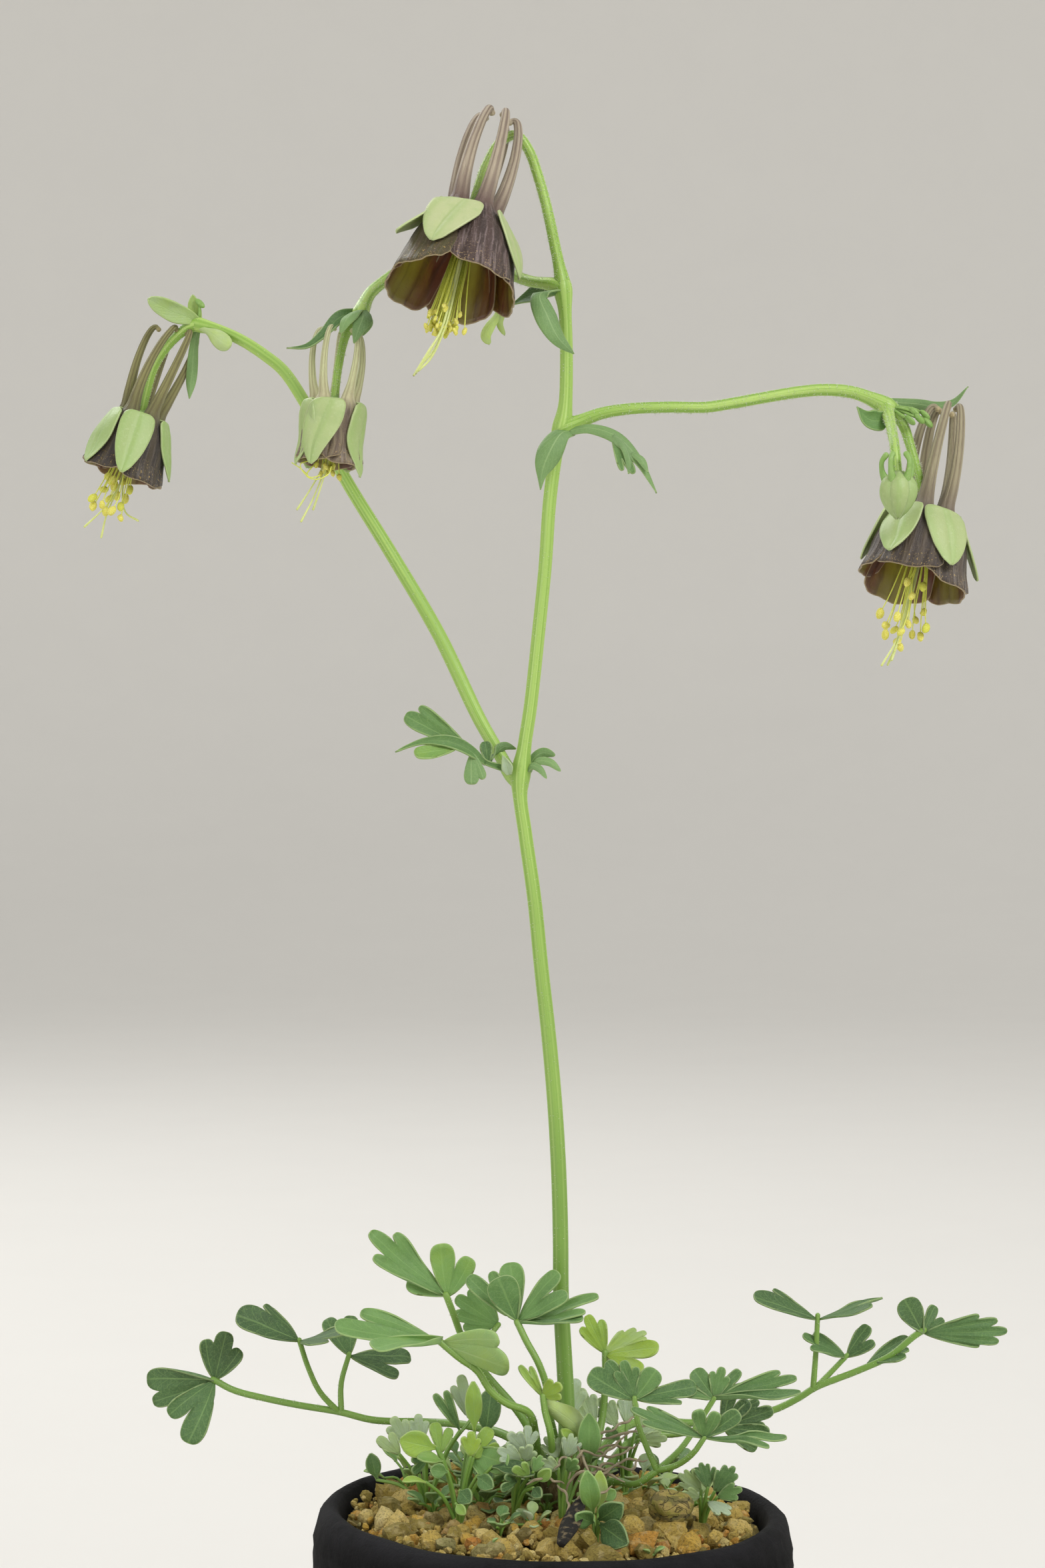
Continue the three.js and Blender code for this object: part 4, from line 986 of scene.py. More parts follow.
# Where anthers hang on the drawing, for the flowers whose stamens spread.
ANTHERS = {
    "left": [
        (139, 747, 21), (140, 759, 22), (153, 757, 20), (158, 767, 22), (168, 766, 20), (181, 760, 22),
        (181, 777, 23), (195, 735, 24), (156, 734, 25), (172, 729, 26), (162, 714, 27), (168, 720, 23),
        (176, 744, 25), (164, 748, 28), (188, 748, 27), (184, 722, 25)],
    "right": [
        (1320, 920, -7), (1329, 938, -8), (1328, 952, -6), (1346, 962, -7), (1352, 948, -9),
        (1363, 936, -8), (1369, 952, -5), (1381, 955, -6), (1389, 942, -7), (1386, 918, -6),
        (1368, 894, -9), (1385, 880, -8), (1361, 873, -9), (1342, 945, -3), (1356, 926, -2),
        (1374, 930, -1), (1346, 925, -10), (1350, 970, -6)],
}


# The styles' routes on the drawing, and those of three filaments that curl.
STYLES = {
    "top": [
        [(690, 390, -8), (664, 490, -13), (640, 535, -15), (624, 560, -16)],
        [(692, 392, -8), (668, 490, -13), (646, 538, -14), (628, 556, -15)],
        [(688, 390, -7), (662, 495, -14), (641, 530, -16), (621, 563, -16)],
        [(690, 391, -9), (665, 492, -12), (652, 524, -13), (634, 545, -14)]],
    "upper": [
        [(500, 640, -1), (484, 700, -2), (468, 730, -2), (446, 764, -3)],
        [(500, 640, -1), (487, 702, -2), (471, 745, -3), (452, 782, -4)],
        [(501, 640, -1), (490, 700, -3), (480, 735, -4), (470, 764, -3)]],
    "left": [
        [(205, 650, 25), (180, 725, 24), (158, 760, 22), (127, 790, 22)],
        [(205, 650, 25), (178, 730, 24), (160, 772, 23), (152, 806, 23)],
        [(206, 650, 25), (184, 735, 25), (188, 768, 24), (207, 781, 22)]],
    "right": [
        [(1390, 800, -4), (1362, 900, -7), (1345, 960, -8), (1323, 998, -9)],
        [(1391, 800, -4), (1364, 900, -7), (1346, 965, -8), (1332, 997, -8)],
        [(1392, 800, -4), (1366, 900, -7), (1348, 962, -7), (1338, 990, -9)]],
}
CURLED_FILAMENTS = (
    [(470, 690, -4), (451, 696, -5), (455, 708, -6), (466, 716, -6), (480, 713, -5)],
    [(474, 694, -4), (460, 714, -7), (476, 719, -8), (492, 712, -8), (497, 700, -6)],
    [(438, 694, -3), (450, 702, -5), (462, 712, -5)],
)


def stamens(name, flower):
    """Filaments that leave the receptacle in a bundle and end in anthers, and longer styles."""
    rng = np.random.default_rng(len(name) * 7)
    piece = Piece()
    long = flower["anthers"]
    place, axes = flower_frame(flower)
    ends = [at(end) for end in ANTHERS.get(name, [])]
    plump = name in ANTHERS
    oval, thick = (0.88, 0.62) if plump else (0.62, 0.36)
    if name == "top":
        angles = rng.uniform(0, 2 * np.pi, 46)
        spread = 2.7 * rng.uniform(0.05, 1, 46) ** 0.5
        drop = -long * rng.uniform(0.94, 1.1, 46) + 0.3 * spread
        ends = [*polar(flower, spread, angles, drop), at([697, 497, -12])]
    if name == "upper":
        angles = rng.uniform(0, 2 * np.pi, 14)
        spread = rng.uniform(0.4, 2.4, 14)
        ends = list(polar(flower, spread, angles, -long * rng.uniform(0.95, 1.12, 14)))
    for number, end in enumerate(ends):
        local = axes @ (end - place)
        turn = np.arctan2(local[0], -local[1])
        start = polar(flower, 0.75, turn + rng.normal(0, 0.3), -0.6)
        reach = np.hypot(local[0], local[1])
        mid = polar(flower, 0.45 * reach + 0.45, turn, 0.55 * local[2])
        near = polar(flower, 0.82 * reach + 0.1, turn + 0.1 * rng.normal(), 0.86 * local[2])
        path = smooth(np.array((start, mid, near, end)), 15)
        piece.rod(path, np.linspace(0.15, 0.1, 15), around=6)
        size = rng.uniform(0.85, 1.15)
        way = unit(path[-1] - path[-3]) + 0.35 * rng.normal(size=3)
        body, marks = egg(end, way, oval * size, thick * size, seed=number)
        if not plump:
            body = body + 0.09 * ripple(body, 0.9, number)[..., None] * unit(body - end)
        piece.surface(body, kind=1, tone=rng.uniform(0, 1), **marks)
    radii = (0.26, 0.24, 0.21, 0.19, 0.19) if name == "top" else (0.2, 0.17, 0.15, 0.14, 0.2)
    for route in STYLES[name]:
        piece.rod(smooth(at(route), 26), evenly(radii, 26), 7, kind=2, tone=1.0 if name == "top" else 0.25)
    if name == "upper":
        for route in CURLED_FILAMENTS:
            piece.rod(smooth(at(route), 22), 0.1, around=6)
    return piece


# ---- Leaves ----
# The lobes of each kind of leaflet: turn from -1 to 1, half width as a share, reach as a share.
LOBES = {
    "one": ((0.0, 1.0, 1.0),),
    "two": ((-0.47, 0.56, 1.0), (0.53, 0.5, 0.84)),
    "heart": ((-0.5, 0.53, 1.0), (0.5, 0.53, 0.95)),
    "three": ((-0.64, 0.38, 0.84), (-0.02, 0.42, 1.0), (0.62, 0.4, 0.8)),
    "mitten": ((-0.28, 0.74, 1.0), (0.7, 0.33, 0.74)),
    "notched": ((-0.28, 0.74, 1.0), (0.58, 0.46, 0.9)),
    "uneven": ((-0.44, 0.6, 1.0), (0.52, 0.52, 0.76)),
    "forked": ((-0.72, 0.3, 0.74), (-0.14, 0.36, 0.96), (0.5, 0.5, 1.0)),
    "five": ((-0.74, 0.28, 0.84), (-0.2, 0.3, 1.0), (0.24, 0.26, 0.93), (0.74, 0.28, 0.84)),
    "toothed": (
        (-0.76, 0.26, 0.7), (-0.36, 0.28, 0.9), (0.06, 0.28, 1.0), (0.46, 0.28, 0.9), (0.8, 0.22, 0.68)),
}


def outline(turn, shape):
    """Reach of a leaflet's edge by turn from -1 to 1, and the place across its lobe there.

    Each lobe is a blunt arch, the cube root of 1 minus the cube of the way from its middle to
    its side; the edge is the furthest of them, which leaves pointed notches between."""
    middle, width, reach = (np.array(part)[:, None] for part in zip(*LOBES[shape]))
    off = np.clip((turn - middle) / width, -1, 1)
    arches = reach * (1 - np.abs(off) ** 3) ** (1 / 3)
    best = arches.argmax(0)
    place = np.arange(turn.shape[-1])
    return arches[best, place], off[best, place]


def fan(piece, root, end, spread, shape, tone, face=FRONT, columns=77, rows=11):
    """A lobed leaflet from its root. A point lies out along its ray by a share of the outline's
    reach; rays bow outwards near the root, so that the sides are round. The blade is cupped
    across by the square of the way from its middle, creased along each lobe and rippled."""
    span = np.linalg.norm(end - root)
    along = (end - root) / span
    across = unit(np.cross(along, np.asarray(face, float)))
    up = np.cross(across, along)
    place = np.linspace(-1, 1, columns)
    turn = 1.5 * place - 0.5 * place ** 3
    out = 0.02 + 0.98 * (np.linspace(0, 1, rows) ** 0.85)[:, None]
    reach, off = outline(turn, shape)
    ray = span * out * reach * 1.03
    angle = turn * np.radians(spread) * (1.35 - 0.35 * out)
    edge = ray * np.sin(angle)
    lift = 0.14 * edge ** 2 / span + 0.04 * span * np.abs(off) ** 1.5 * out ** 2
    flat = root + along * (ray * np.cos(angle))[..., None] + across * edge[..., None]
    lift = lift + 0.05 * span * ripple(flat, 0.7 * span, len(piece.points)) * out
    grid = flat + up * lift[..., None]
    piece.surface(grid, thickness=LEAF_THICKNESS, under=1, tone=tone, along=out,
                  across=off * out ** 0.25, rim=beyond(grid))


def bract(piece, route, half_widths, side, tone, cup=0.35):
    """A blade along a route whose end is rounded off by a half circle's formula."""
    rows = 30
    half = evenly(half_widths, rows) * np.sqrt(1 - np.linspace(0, 1, rows) ** 12)
    strip(piece, smooth(at(route), rows), half, side, tone, cup=cup, wave=0.12, seed=len(piece.points))


STALK_FINISH, HAIR_FINISH = 2, 3  # their numbers among the finishes of a leaf
PETIOLE_HAIR = 0.35


def stalk(piece, points, radii, hair=0, seed=0, around=10):
    """A tube along a path, with hair short hairs to a millimetre."""
    path = smooth(points, max(int(length_of(points) / 1.1), 8))
    radius = evenly(radii, len(path))
    piece.rod(path, radius, around, STALK_FINISH, seed * 0.1)
    if hair:
        hairs(piece, path, radius, int(hair * length_of(path)), PETIOLE_HAIR, HAIR_FINISH, seed)


# Bracts on the stems: route, half widths, direction across, tone.
NODE_LEAVES = {
    "low_node_leaf": [
        ([[768, 1156, 0], [748, 1150, -1.6], [728, 1143, -3.4], [712, 1130, -4.6], [694, 1112, -4.6]],
         [0.6, 0.5, 0.4, 0.6, 0.5], (0.3, 0, 1), 0.32),
        ([[728, 1145, -3.4], [712, 1131, -5.4], [690, 1118, -6.6], [665, 1111, -7.4], [635, 1112, -8],
          [610, 1120, -8.6], [593, 1128, -9]], [0.4, 0.9, 1.1, 0.95, 0.6, 0.35, 0.2], (0, 0.3, 1), 0.34),
        ([[736, 1142, -1], [745, 1127, 0.4], [757, 1119, 1], [774, 1123, 1.5]], [0.5, 0.9, 0.7, 0.12],
         (0.5, 0, 0.8), 0.2),
        ([[792, 1158, 0.5], [800, 1140, 0.5], [815, 1129, 0], [833, 1133, -0.5]], [0.5, 0.85, 0.8, 0.35],
         (0.2, 0, 1), 0.26),
        ([[792, 1160, 0], [806, 1143, -1.4], [824, 1143, -2], [841, 1157, -2.6]], [0.3, 0.6, 0.6, 0.3],
         (0.2, 0.3, 1), 0.36),
        ([[790, 1162, 0], [798, 1149, -1.6], [809, 1153, -2.2], [820, 1168, -2.6]], [0.3, 0.5, 0.5, 0.25],
         (0.2, 0.3, 1), 0.34),
        ([[764, 1162, -2], [760, 1148, -2.6], [754, 1133, -2.4]], [0.4, 0.9, 0.6, 0.1], (1, 0, 0.2), 0.97)],
    "middle_node_leaf": [
        ([[858, 648, -0.6], [842, 652, -2.6], [826, 676, -3.8], [814, 706, -4], [811, 735, -4]],
         [0.8, 1.3, 1.8, 2.0, 1.6, 0.7, 0.15], (1, 0, -0.3), 0.3),
        ([[852, 648, -1], [885, 643, -2.6], [925, 656, -4], [960, 694, -5], [985, 740, -5]],
         [0.7, 0.8, 1.0, 1.1, 0.9, 0.5, 0.12], (0.3, 0.5, 1), 0.34),
        ([[920, 653, -4], [936, 668, -4.6], [944, 690, -5.2], [943, 711, -5.6]], [0.4, 0.7, 0.7, 0.12],
         (0.9, 0.4, 0.4), 0.34),
        ([[948, 680, -5], [962, 690, -5.6], [972, 708, -6]], [0.3, 0.6, 0.1], (0.6, 0.4, 0.8), 0.38)],
    "top_node_leaf": [
        ([[842, 438, -0.4], [826, 438, -2], [810, 444, -3.4], [820, 474, -5], [836, 506, -5],
          [861, 531, -4]], [0.6, 0.9, 1.3, 1.7, 1.9, 1.6, 1.0, 0.3], (1, 0.4, 0.3), 0.3),
        ([[838, 436, 1], [812, 437, 5], [790, 446, 8], [768, 457, 10]], [0.7, 1.5, 1.6, 1.0, 0.2],
         (0.1, 0.4, 1), 0.2),
        ([[752, 440, 9], [748, 470, 8], [736, 488, 6], [729, 504, 5], [734, 517, 4]],
         [0.4, 0.5, 0.7, 0.9, 0.6], (1, 0, 0), 0.8),
        ([[752, 442, 9], [754, 468, 8], [750, 486, 7], [757, 503, 6]], [0.4, 0.5, 0.5, 0.3], (1, 0, 0),
         0.8)],
    "upper_node_leaf": [
        ([[532, 470, 0], [510, 476, -2], [484, 502, -3.6], [460, 519, -4.6], [430, 522, -5.4]],
         [0.8, 1.1, 1.1, 0.8, 0.55, 0.35, 0.08], (0, 0.5, 1), 0.24),
        ([[540, 466, -0.6], [528, 472, -3], [518, 484, -4.4], [511, 500, -4.6]], [0.6, 1.2, 1.2, 0.8, 0.3],
         (1, 0, 0.3), 0.38),
        ([[545, 466, -0.6], [544, 480, -3.6], [538, 494, -4.6], [531, 515, -4.4]],
         [0.6, 1.3, 1.4, 0.9, 0.15], (1, 0, 0), 0.24),
        ([[546, 466, 0], [552, 478, -1], [550, 490, -1.6], [544, 503, -2]], [0.7, 1.0, 1.0, 0.6, 0.2],
         (0.8, 0.6, 0), 0.32)],
    "left_node_leaf": [
        ([[300, 487, 25], [285, 477, 24], [262, 469, 23], [242, 459, 22], [222, 448, 21]],
         [0.7, 1.1, 1.5, 1.7, 1.6, 1.4, 0.9], (0.4, 0, 1), 0.86),
        ([[298, 484, 25], [292, 464, 25], [289, 442, 25]], [0.6, 1.0, 1.0, 0.3], (1, 0, 0), 0.84),
        ([[300, 492, 24], [318, 500, 22.5], [333, 512, 21.5], [346, 520, 21]], [0.3, 0.5, 1.2, 1.5, 1.2],
         (0.5, 0, 1), 0.86),
        ([[296, 494, 25], [291, 520, 26], [288, 560, 26], [284, 598, 25]], [0.5, 0.7, 0.9, 0.8, 0.15],
         (1, 0.2, 0), 0.36)],
    "right_node_leaf": [
        ([[1331, 620, -3], [1318, 631, -4.6], [1301, 627, -5.4], [1286, 610, -6]],
         [0.5, 1.2, 1.7, 1.5, 0.8, 0.2], (0.2, 0.2, 1), 0.4)],
    "right_node_bract": [
        ([[1332, 604, -1.4], [1375, 606, 1], [1405, 610, 6], [1430, 604, 7], [1453, 580, 7]],
         [0.8, 0.8, 0.8, 0.9, 0.8, 0.5, 0.1], (0.2, 0.3, 1), 0.24)],
}

# Lobed leaflets at the stems' nodes: base, tip, spread, kind, tone and, if not FRONT, face.
NODE_LEAFLETS = {
    "low_node_leaf": [
        ([704, 1122, -4.6], [614, 1068, -5], 15, "notched", 0.36),
        ([688, 1122, -6.6], [624, 1132, -9.2], 17, "one", 0.55, (0, -0.8, 0.6)),
        ([708, 1128, -5.4], [714, 1175, -6.6], 27, "notched", 0.3, (0, 1, 0)),
        ([733, 1147, -2], [728, 1113, -1], 22, "one", 0.2)],
    "middle_node_leaf": [([918, 653, -4], [944, 712, -5.4], 13, "two", 0.36)],
}

# The rootstock: its place, its lower and upper end, and its radius by level.
CROWN_AT, CROWN_ENDS, CROWN_RADIUS = np.array((2.3, 1.5)), (42.5, 72.8), 5.2
LEAF_BASES = 22  # dry ones round it
CROWN_LEVELS, CROWN_RADII = (42, 52, 62, 69, 72, 73.4), (1.6, 3.4, 5.0, 4.9, 3.6, 2.2)
PETIOLE_FOOT = 68.6
PETIOLE, TWIG = (0.85, 0.7, 0.6, 0.58), (0.55, 0.48, 0.45)  # radii from foot to tip


def beside_crown(degrees):
    """A petiole's foot on the crown's side, by its angle from the front to the right."""
    return [(*CROWN_AT, PETIOLE_FOOT) + (CROWN_RADIUS - 0.4) * outward(np.radians(degrees))]


# Each basal leaf: the angle of its foot on the crown, its petiole's route, its twigs' routes,
# its leaflets (base, tip, spread, kind and, if not FRONT, face) and its tone.
BASAL_LEAVES = {
    "far_left_leaf": (
        -112,
        [[770, 2160, 12], [700, 2138, 20], [640, 2133, 25], [560, 2130, 25], [510, 2118, 25],
         [450, 2108, 25], [400, 2098, 25], [350, 2085, 25], [320, 2069, 25]],
        [[[508, 2118, 25], [480, 2088, 24], [462, 2050, 23], [449, 2010, 22]],
         [[512, 2118, 25], [512, 2075, 26], [524, 2031, 27]]],
        [([322, 2070, 25], [340, 2000, 25], 42, "three"), ([322, 2071, 25], [226, 2096, 27], 30, "forked"),
         ([322, 2071, 25], [262, 2150, 21], 30, "two"),
         ([450, 2012, 22], [362, 1962, 21], 30, "mitten", (0.3, -0.6, 0.8)),
         ([450, 2012, 22], [512, 2006, 16], 34, "two", UP),
         ([524, 2034, 27], [508, 1974, 31], 32, "heart", (0, -0.7, 0.7)),
         ([524, 2034, 27], [614, 2052, 28], 26, "two", (0, -0.6, 0.8))], 0.14),
    "front_left_leaf": (
        -72,
        [[803, 2150, -6], [792, 2118, -10], [760, 2105, -12], [735, 2085, -13], [716, 2056, -14],
         [688, 2036, -15], [661, 2013, -15]], [],
        [([662, 2014, -15], [506, 1974, -20], 17, "uneven", (0.1, -0.7, 0.8)),
         ([662, 2014, -15], [566, 2018, -26], 16, "one", UP),
         ([662, 2014, -15], [762, 2036, -19], 32, "notched", (0.1, 0.9, 0.5))], 0.5),
    "left_leaf": (
        -150,
        [[786, 2130, 6], [735, 2068, 7], [704, 2030, 7], [690, 1998, 7], [680, 1970, 6], [669, 1942, 6]],
        [[[706, 2033, 7], [728, 2012, 9], [748, 1987, 11]]],
        [([668, 1944, 6], [556, 1852, 4], 18, "three", (0.3, -0.8, 0.5)),
         ([668, 1944, 6], [612, 1924, 5], 18, "one"), ([672, 1946, 6], [686, 1868, 6], 37, "two"),
         ([748, 1988, 11], [684, 1950, 12], 44, "toothed")], 0.48),
    "middle_leaf": (
        8, [[826, 2130, -6], [820, 2080, -6], [808, 2045, -6], [790, 2012, -5], [776, 1983, -4]], [],
        [([776, 1982, -4], [748, 1918, -5], 30, "one"),
         ([776, 1982, -4], [846, 1924, -6], 24, "heart", (-0.1, -0.8, 0.6)),
         ([776, 1984, -4], [896, 1956, -7], 12, "two", (-0.1, -0.7, 0.7)),
         ([776, 1984, -4], [872, 1980, -8], 10, "one", (0, -0.4, 0.9)),
         ([776, 1982, -2], [716, 1906, 0], 20, "two"), ([776, 1978, -2], [766, 1896, 0], 20, "one")], 0.38),
    "yellow_leaf": (
        130, [[903, 2130, 9], [908, 2080, 10], [908, 2029, 10]], [],
        [([908, 2030, 10], [882, 1974, 11], 30, "three"),
         ([908, 2032, 10], [982, 2040, 5], 28, "two", (0, -0.8, 0.6)),
         ([908, 2030, 10], [966, 1998, 14], 28, "toothed", (0, -0.6, 0.8))], 0.76),
    "front_right_leaf": (
        55, [[925, 2222, -6], [955, 2226, -10.5], [986, 2206, -12]],
        [[[986, 2206, -12], [968, 2165, -12], [956, 2130, -13], [952, 2097, -13]],
         [[986, 2206, -12], [1020, 2175, -11], [1045, 2140, -10], [1072, 2097, -10]],
         [[986, 2206, -12], [1015, 2198, -14], [1040, 2180, -16], [1057, 2156, -17]]],
        [([952, 2100, -13], [892, 2052, -13], 28, "notched"),
         ([952, 2098, -13], [936, 2042, -13], 30, "three"), ([952, 2100, -13], [984, 2056, -13], 27, "one"),
         ([952, 2099, -13], [1044, 2088, -12], 18, "mitten", (0, -0.8, 0.6)),
         ([1072, 2098, -10], [1042, 2056, -9], 24, "one", (0, -0.9, 0.4)),
         ([1072, 2098, -10], [1084, 2052, -9], 30, "three"),
         ([1072, 2098, -10], [1116, 2064, -9], 22, "two", (0, -0.9, 0.4)),
         ([1072, 2098, -10], [1192, 2068, -10], 13, "three", (0, -0.8, 0.6)),
         ([1072, 2100, -10], [1008, 2080, -11], 14, "one", (0, -0.7, 0.7)),
         ([1072, 2099, -10], [1198, 2090, -13], 8, "one", UP),
         ([1056, 2157, -17], [950, 2114, -19], 14, "three", (0, -0.7, 0.7)),
         ([1056, 2157, -17], [1062, 2114, -19], 34, "heart"),
         ([1056, 2157, -17], [1108, 2120, -19], 16, "one"),
         ([1056, 2157, -17], [1174, 2164, -22], 12, "two", UP)], 0.3),
    "back_right_leaf": (
        95, [[950, 2160, 10], [1020, 2150, 13], [1085, 2139, 15]], [],
        [([1084, 2140, 15], [1112, 2090, 15], 32, "heart"),
         ([1084, 2140, 15], [1158, 2116, 15], 28, "three"),
         ([1084, 2142, 15], [1150, 2164, 14], 26, "two")], 0.1),
    "far_right_leaf": (
        165,
        [[950, 2135, 20], [1050, 2134, 28], [1155, 2117, 30], [1200, 2096, 30], [1222, 2082, 30],
         [1290, 2055, 30], [1335, 2034, 30], [1372, 2004, 30], [1386, 1995, 30]],
        [[[1220, 2084, 30], [1224, 2030, 30], [1227, 1973, 30]],
         [[1226, 2080, 30], [1250, 2055, 31], [1271, 2033, 31]]],
        [([1227, 1980, 30], [1134, 1938, 28], 24, "mitten", (0.2, -0.35, 0.9)),
         ([1227, 1980, 30], [1324, 1952, 29], 24, "two", (-0.1, -0.1, 1)),
         ([1270, 2036, 31], [1206, 2004, 30], 28, "three", (0, -0.5, 0.9)),
         ([1270, 2036, 31], [1312, 1998, 31], 30, "two", (0, -0.7, 0.7)),
         ([1312, 2044, 30], [1358, 2034, 29], 26, "one", (0, -0.3, 0.9)),
         ([1300, 2046, 31], [1368, 2012, 33], 20, "two", (0, -0.4, 0.9)),
         ([1385, 2000, 30], [1358, 1950, 30], 30, "one"), ([1385, 2000, 30], [1412, 1966, 32], 30, "two"),
         ([1385, 2000, 30], [1508, 1994, 30], 19, "toothed")], 0.2),
    "young_leaf": (
        -30, [[826, 2150, -10], [818, 2118, -10], [815, 2094, -10]], [],
        [([815, 2096, -10], [786, 2046, -10], 14, "two"),
         ([815, 2095, -10], [842, 2078, -12], 42, "three")], 0.74),
}


# ---- Pot, gravel and crown ----
POT_HEIGHT, POT_RADIUS, POT_FLOOR = 66.5, 39.5, 7.0
RIM_RISE = 1.1
DRAIN_RADIUS, DRAIN_RING, DRAIN_COUNT = 3.0, 15.0, 3
GRAVEL_TOP, GRAVEL_RADIUS = 64.5, 34.0
BED_DEPTH, BED_FOOT = 1.9, 55.6  # of the smooth bed under the grains, from its top and from z 0
STONE_AT, STONE_RISE, STONE_SIZE = [1008, 2236, -14], 4.1, (3.7, 3.0, 2.9)
GOLDEN = 3 - 5 ** 0.5  # the golden angle as a share of half a turn
POT_PROFILE = np.array(
    ((0, 0), (14, 0), (28.4, 0), (29.6, 0.3), (31, 1.5), (32.3, 6), (33.5, 14), (36.6, 32), (38.2, 42),
     (39.2, 50), (39.7, 57), (39.5, 61.5), (38.9, 64.4), (37.9, 66.0), (36.5, 66.5), (35.3, 66.0),
     (34.7, 64.6), (34.6, 60), (33.4, 50), (31.6, 30), (28.5, 12), (26, 7.3), (24.5, 7), (12, 7), (0, 7)),
)
RIM_CREST = 14  # the profile's highest point


def tilted(grid):
    """Lowers the right side and lifts the left, as the uneven rim does."""
    share = np.clip(grid[..., 2] - POT_FLOOR, 0, None) / (POT_HEIGHT - POT_FLOOR)
    grid[..., 2] -= RIM_RISE * share * grid[..., 0] / POT_RADIUS
    return grid


def pot_grid(rows=136, columns=200):
    """The turned profile, pushed in and out by slow waves, fine pits and shallow throwing lines."""
    steps = np.linalg.norm(np.diff(POT_PROFILE, axis=0), axis=1)
    stations = np.concatenate(([0], np.cumsum(steps)))
    t = np.linspace(0, stations[-1], rows)
    radius, height = (np.interp(t, stations, POT_PROFILE[:, axis]) for axis in (0, 1))
    soft = np.ones(5) / 5
    radius[2:-2], height[2:-2] = np.convolve(radius, soft, "valid"), np.convolve(height, soft, "valid")
    turn = round_turn(columns)
    circle = joined(np.cos(turn), np.sin(turn), 0)
    grid = radius[:, None, None] * circle + joined(0, 0, height)[:, None]
    push = 0.55 * ripple(grid, 34, 3) + 0.12 * ripple(grid, 9, 4) + 0.09 * ripple(grid, 2.6, 5)
    push = push + 0.1 * np.sin(height * 1.9)[:, None]
    wall = smoothstep(2, 9, height)[:, None] * smoothstep(20, 28, radius)[:, None]
    inner = (t > stations[RIM_CREST])[:, None]
    grid = grid + (np.where(inner, 0.4, 1.0) * push * wall)[..., None] * circle
    top = smoothstep(58, 66, height)[:, None]
    grid[..., 2] += 0.4 * ripple(grid, 22, 6) * top
    # The second grid is the rim band, which the pot's finish greys with dust and a painted sheen.
    return tilted(grid), np.broadcast_to(smoothstep(60.5, 65.5, height)[:, None], grid.shape[:2])


def drain_holes(pot):
    """Cuts the drain holes with three upright rods, then drops the rods."""
    for number in range(DRAIN_COUNT):
        angle = 2 * np.pi * (number + 0.25) / DRAIN_COUNT
        foot = DRAIN_RING * np.array((np.cos(angle), np.sin(angle)))
        rod = Piece()
        line = joined(*foot, (-8.0, 0.0, 12.0, 20.0))
        rod.surface(tube(line, DRAIN_RADIUS, around=28, hint=(1, 0, 0)))
        cutter = rod.make(f"drain_{number}", [], "pot")
        modifier = pot.modifiers.new("drain", "BOOLEAN")
        modifier.operation, modifier.solver, modifier.object = "DIFFERENCE", "EXACT", cutter
        done = pot.evaluated_get(bpy.context.evaluated_depsgraph_get())
        cut = bpy.data.meshes.new_from_object(done)
        pot.modifiers.remove(modifier)
        pot.data = cut
        bpy.data.objects.remove(cutter)


def rock_shape(rows=6, columns=8):
    """The points and faces of the small ball that grains are made from."""
    flat = ball(rows, columns).reshape(-1, 3)
    first, faces = weld(flat, grid_quads(rows, columns + 1))
    return flat[first], faces


def random_turns(rng, count):
    """Random rotations from the Q of random matrices."""
    q, r = np.linalg.qr(rng.normal(size=(count, 3, 3)))
    q = q * np.sign(np.diagonal(r, axis1=1, axis2=2))[:, None]
    return q * np.sign(np.linalg.det(q))[:, None, None]


def ground_height(x, y):
    """Height of the loose gravel: a low mound with hollows, lower on the right as the rim is."""
    mound = 1.4 * (1 - (np.hypot(x, y) / GRAVEL_RADIUS) ** 2)
    hollow = 0.5 * ripple(joined(x, y, 0), 13, 8)
    return GRAVEL_TOP - 0.9 + mound + hollow - RIM_RISE * x / POT_RADIUS


def on_ground(place):
    """The place moved down or up to just under the gravel's surface."""
    return np.array((*place[:2], ground_height(*place[:2]) - 0.4))


def lifted(path, gap):
    """The path, raised where it would come closer than gap to the gravel."""
    path[:, 2] = np.maximum(path[:, 2], ground_height(path[:, 0], path[:, 1]) + gap)
    return path


def grains(piece, rng, count, small, large, sink):
    """Scatters grains over the pot on a sunflower spiral: balls cut flat by eight random planes,
    stretched and turned."""
    shape, faces = rock_shape()
    number = np.arange(count) + 0.5
    size = small + (large - small) * rng.uniform(0, 1, count) ** 3.0
    out = (GRAVEL_RADIUS - size * 0.6) * np.sqrt(number / count)
    angle = number * np.pi * GOLDEN + rng.normal(0, 0.02, count)
    x = out * np.cos(angle) + rng.normal(0, 0.5, count)
    y = out * np.sin(angle) + rng.normal(0, 0.5, count)
    limit = np.minimum(1, (GRAVEL_RADIUS - size * 0.5) / np.maximum(np.hypot(x, y), 1e-6))
    x, y = x * limit, y * limit
    axes = size[:, None] / 1.7 * rng.uniform(0.7, 1.15, (count, 3))
    planes = unit(rng.normal(size=(count, 8, 3)))
    near = rng.uniform(0.40, 0.80, (count, 8, 1))
    flat = np.minimum(1.0, (near / np.maximum(planes @ shape.T, 0.05)).min(1))
    cut = shape[None] * flat[..., None] * axes[:, None]
    places = np.einsum("nij,nkj->nki", random_turns(rng, count), cut)
    level = ground_height(x, y) - sink + rng.uniform(-0.3, 0.5, count) * size * 0.4
    tone = rng.beta(1.5, 1.7, count)[:, None]
    piece.copies(places + joined(x, y, level)[:, None], faces, tone=tone)


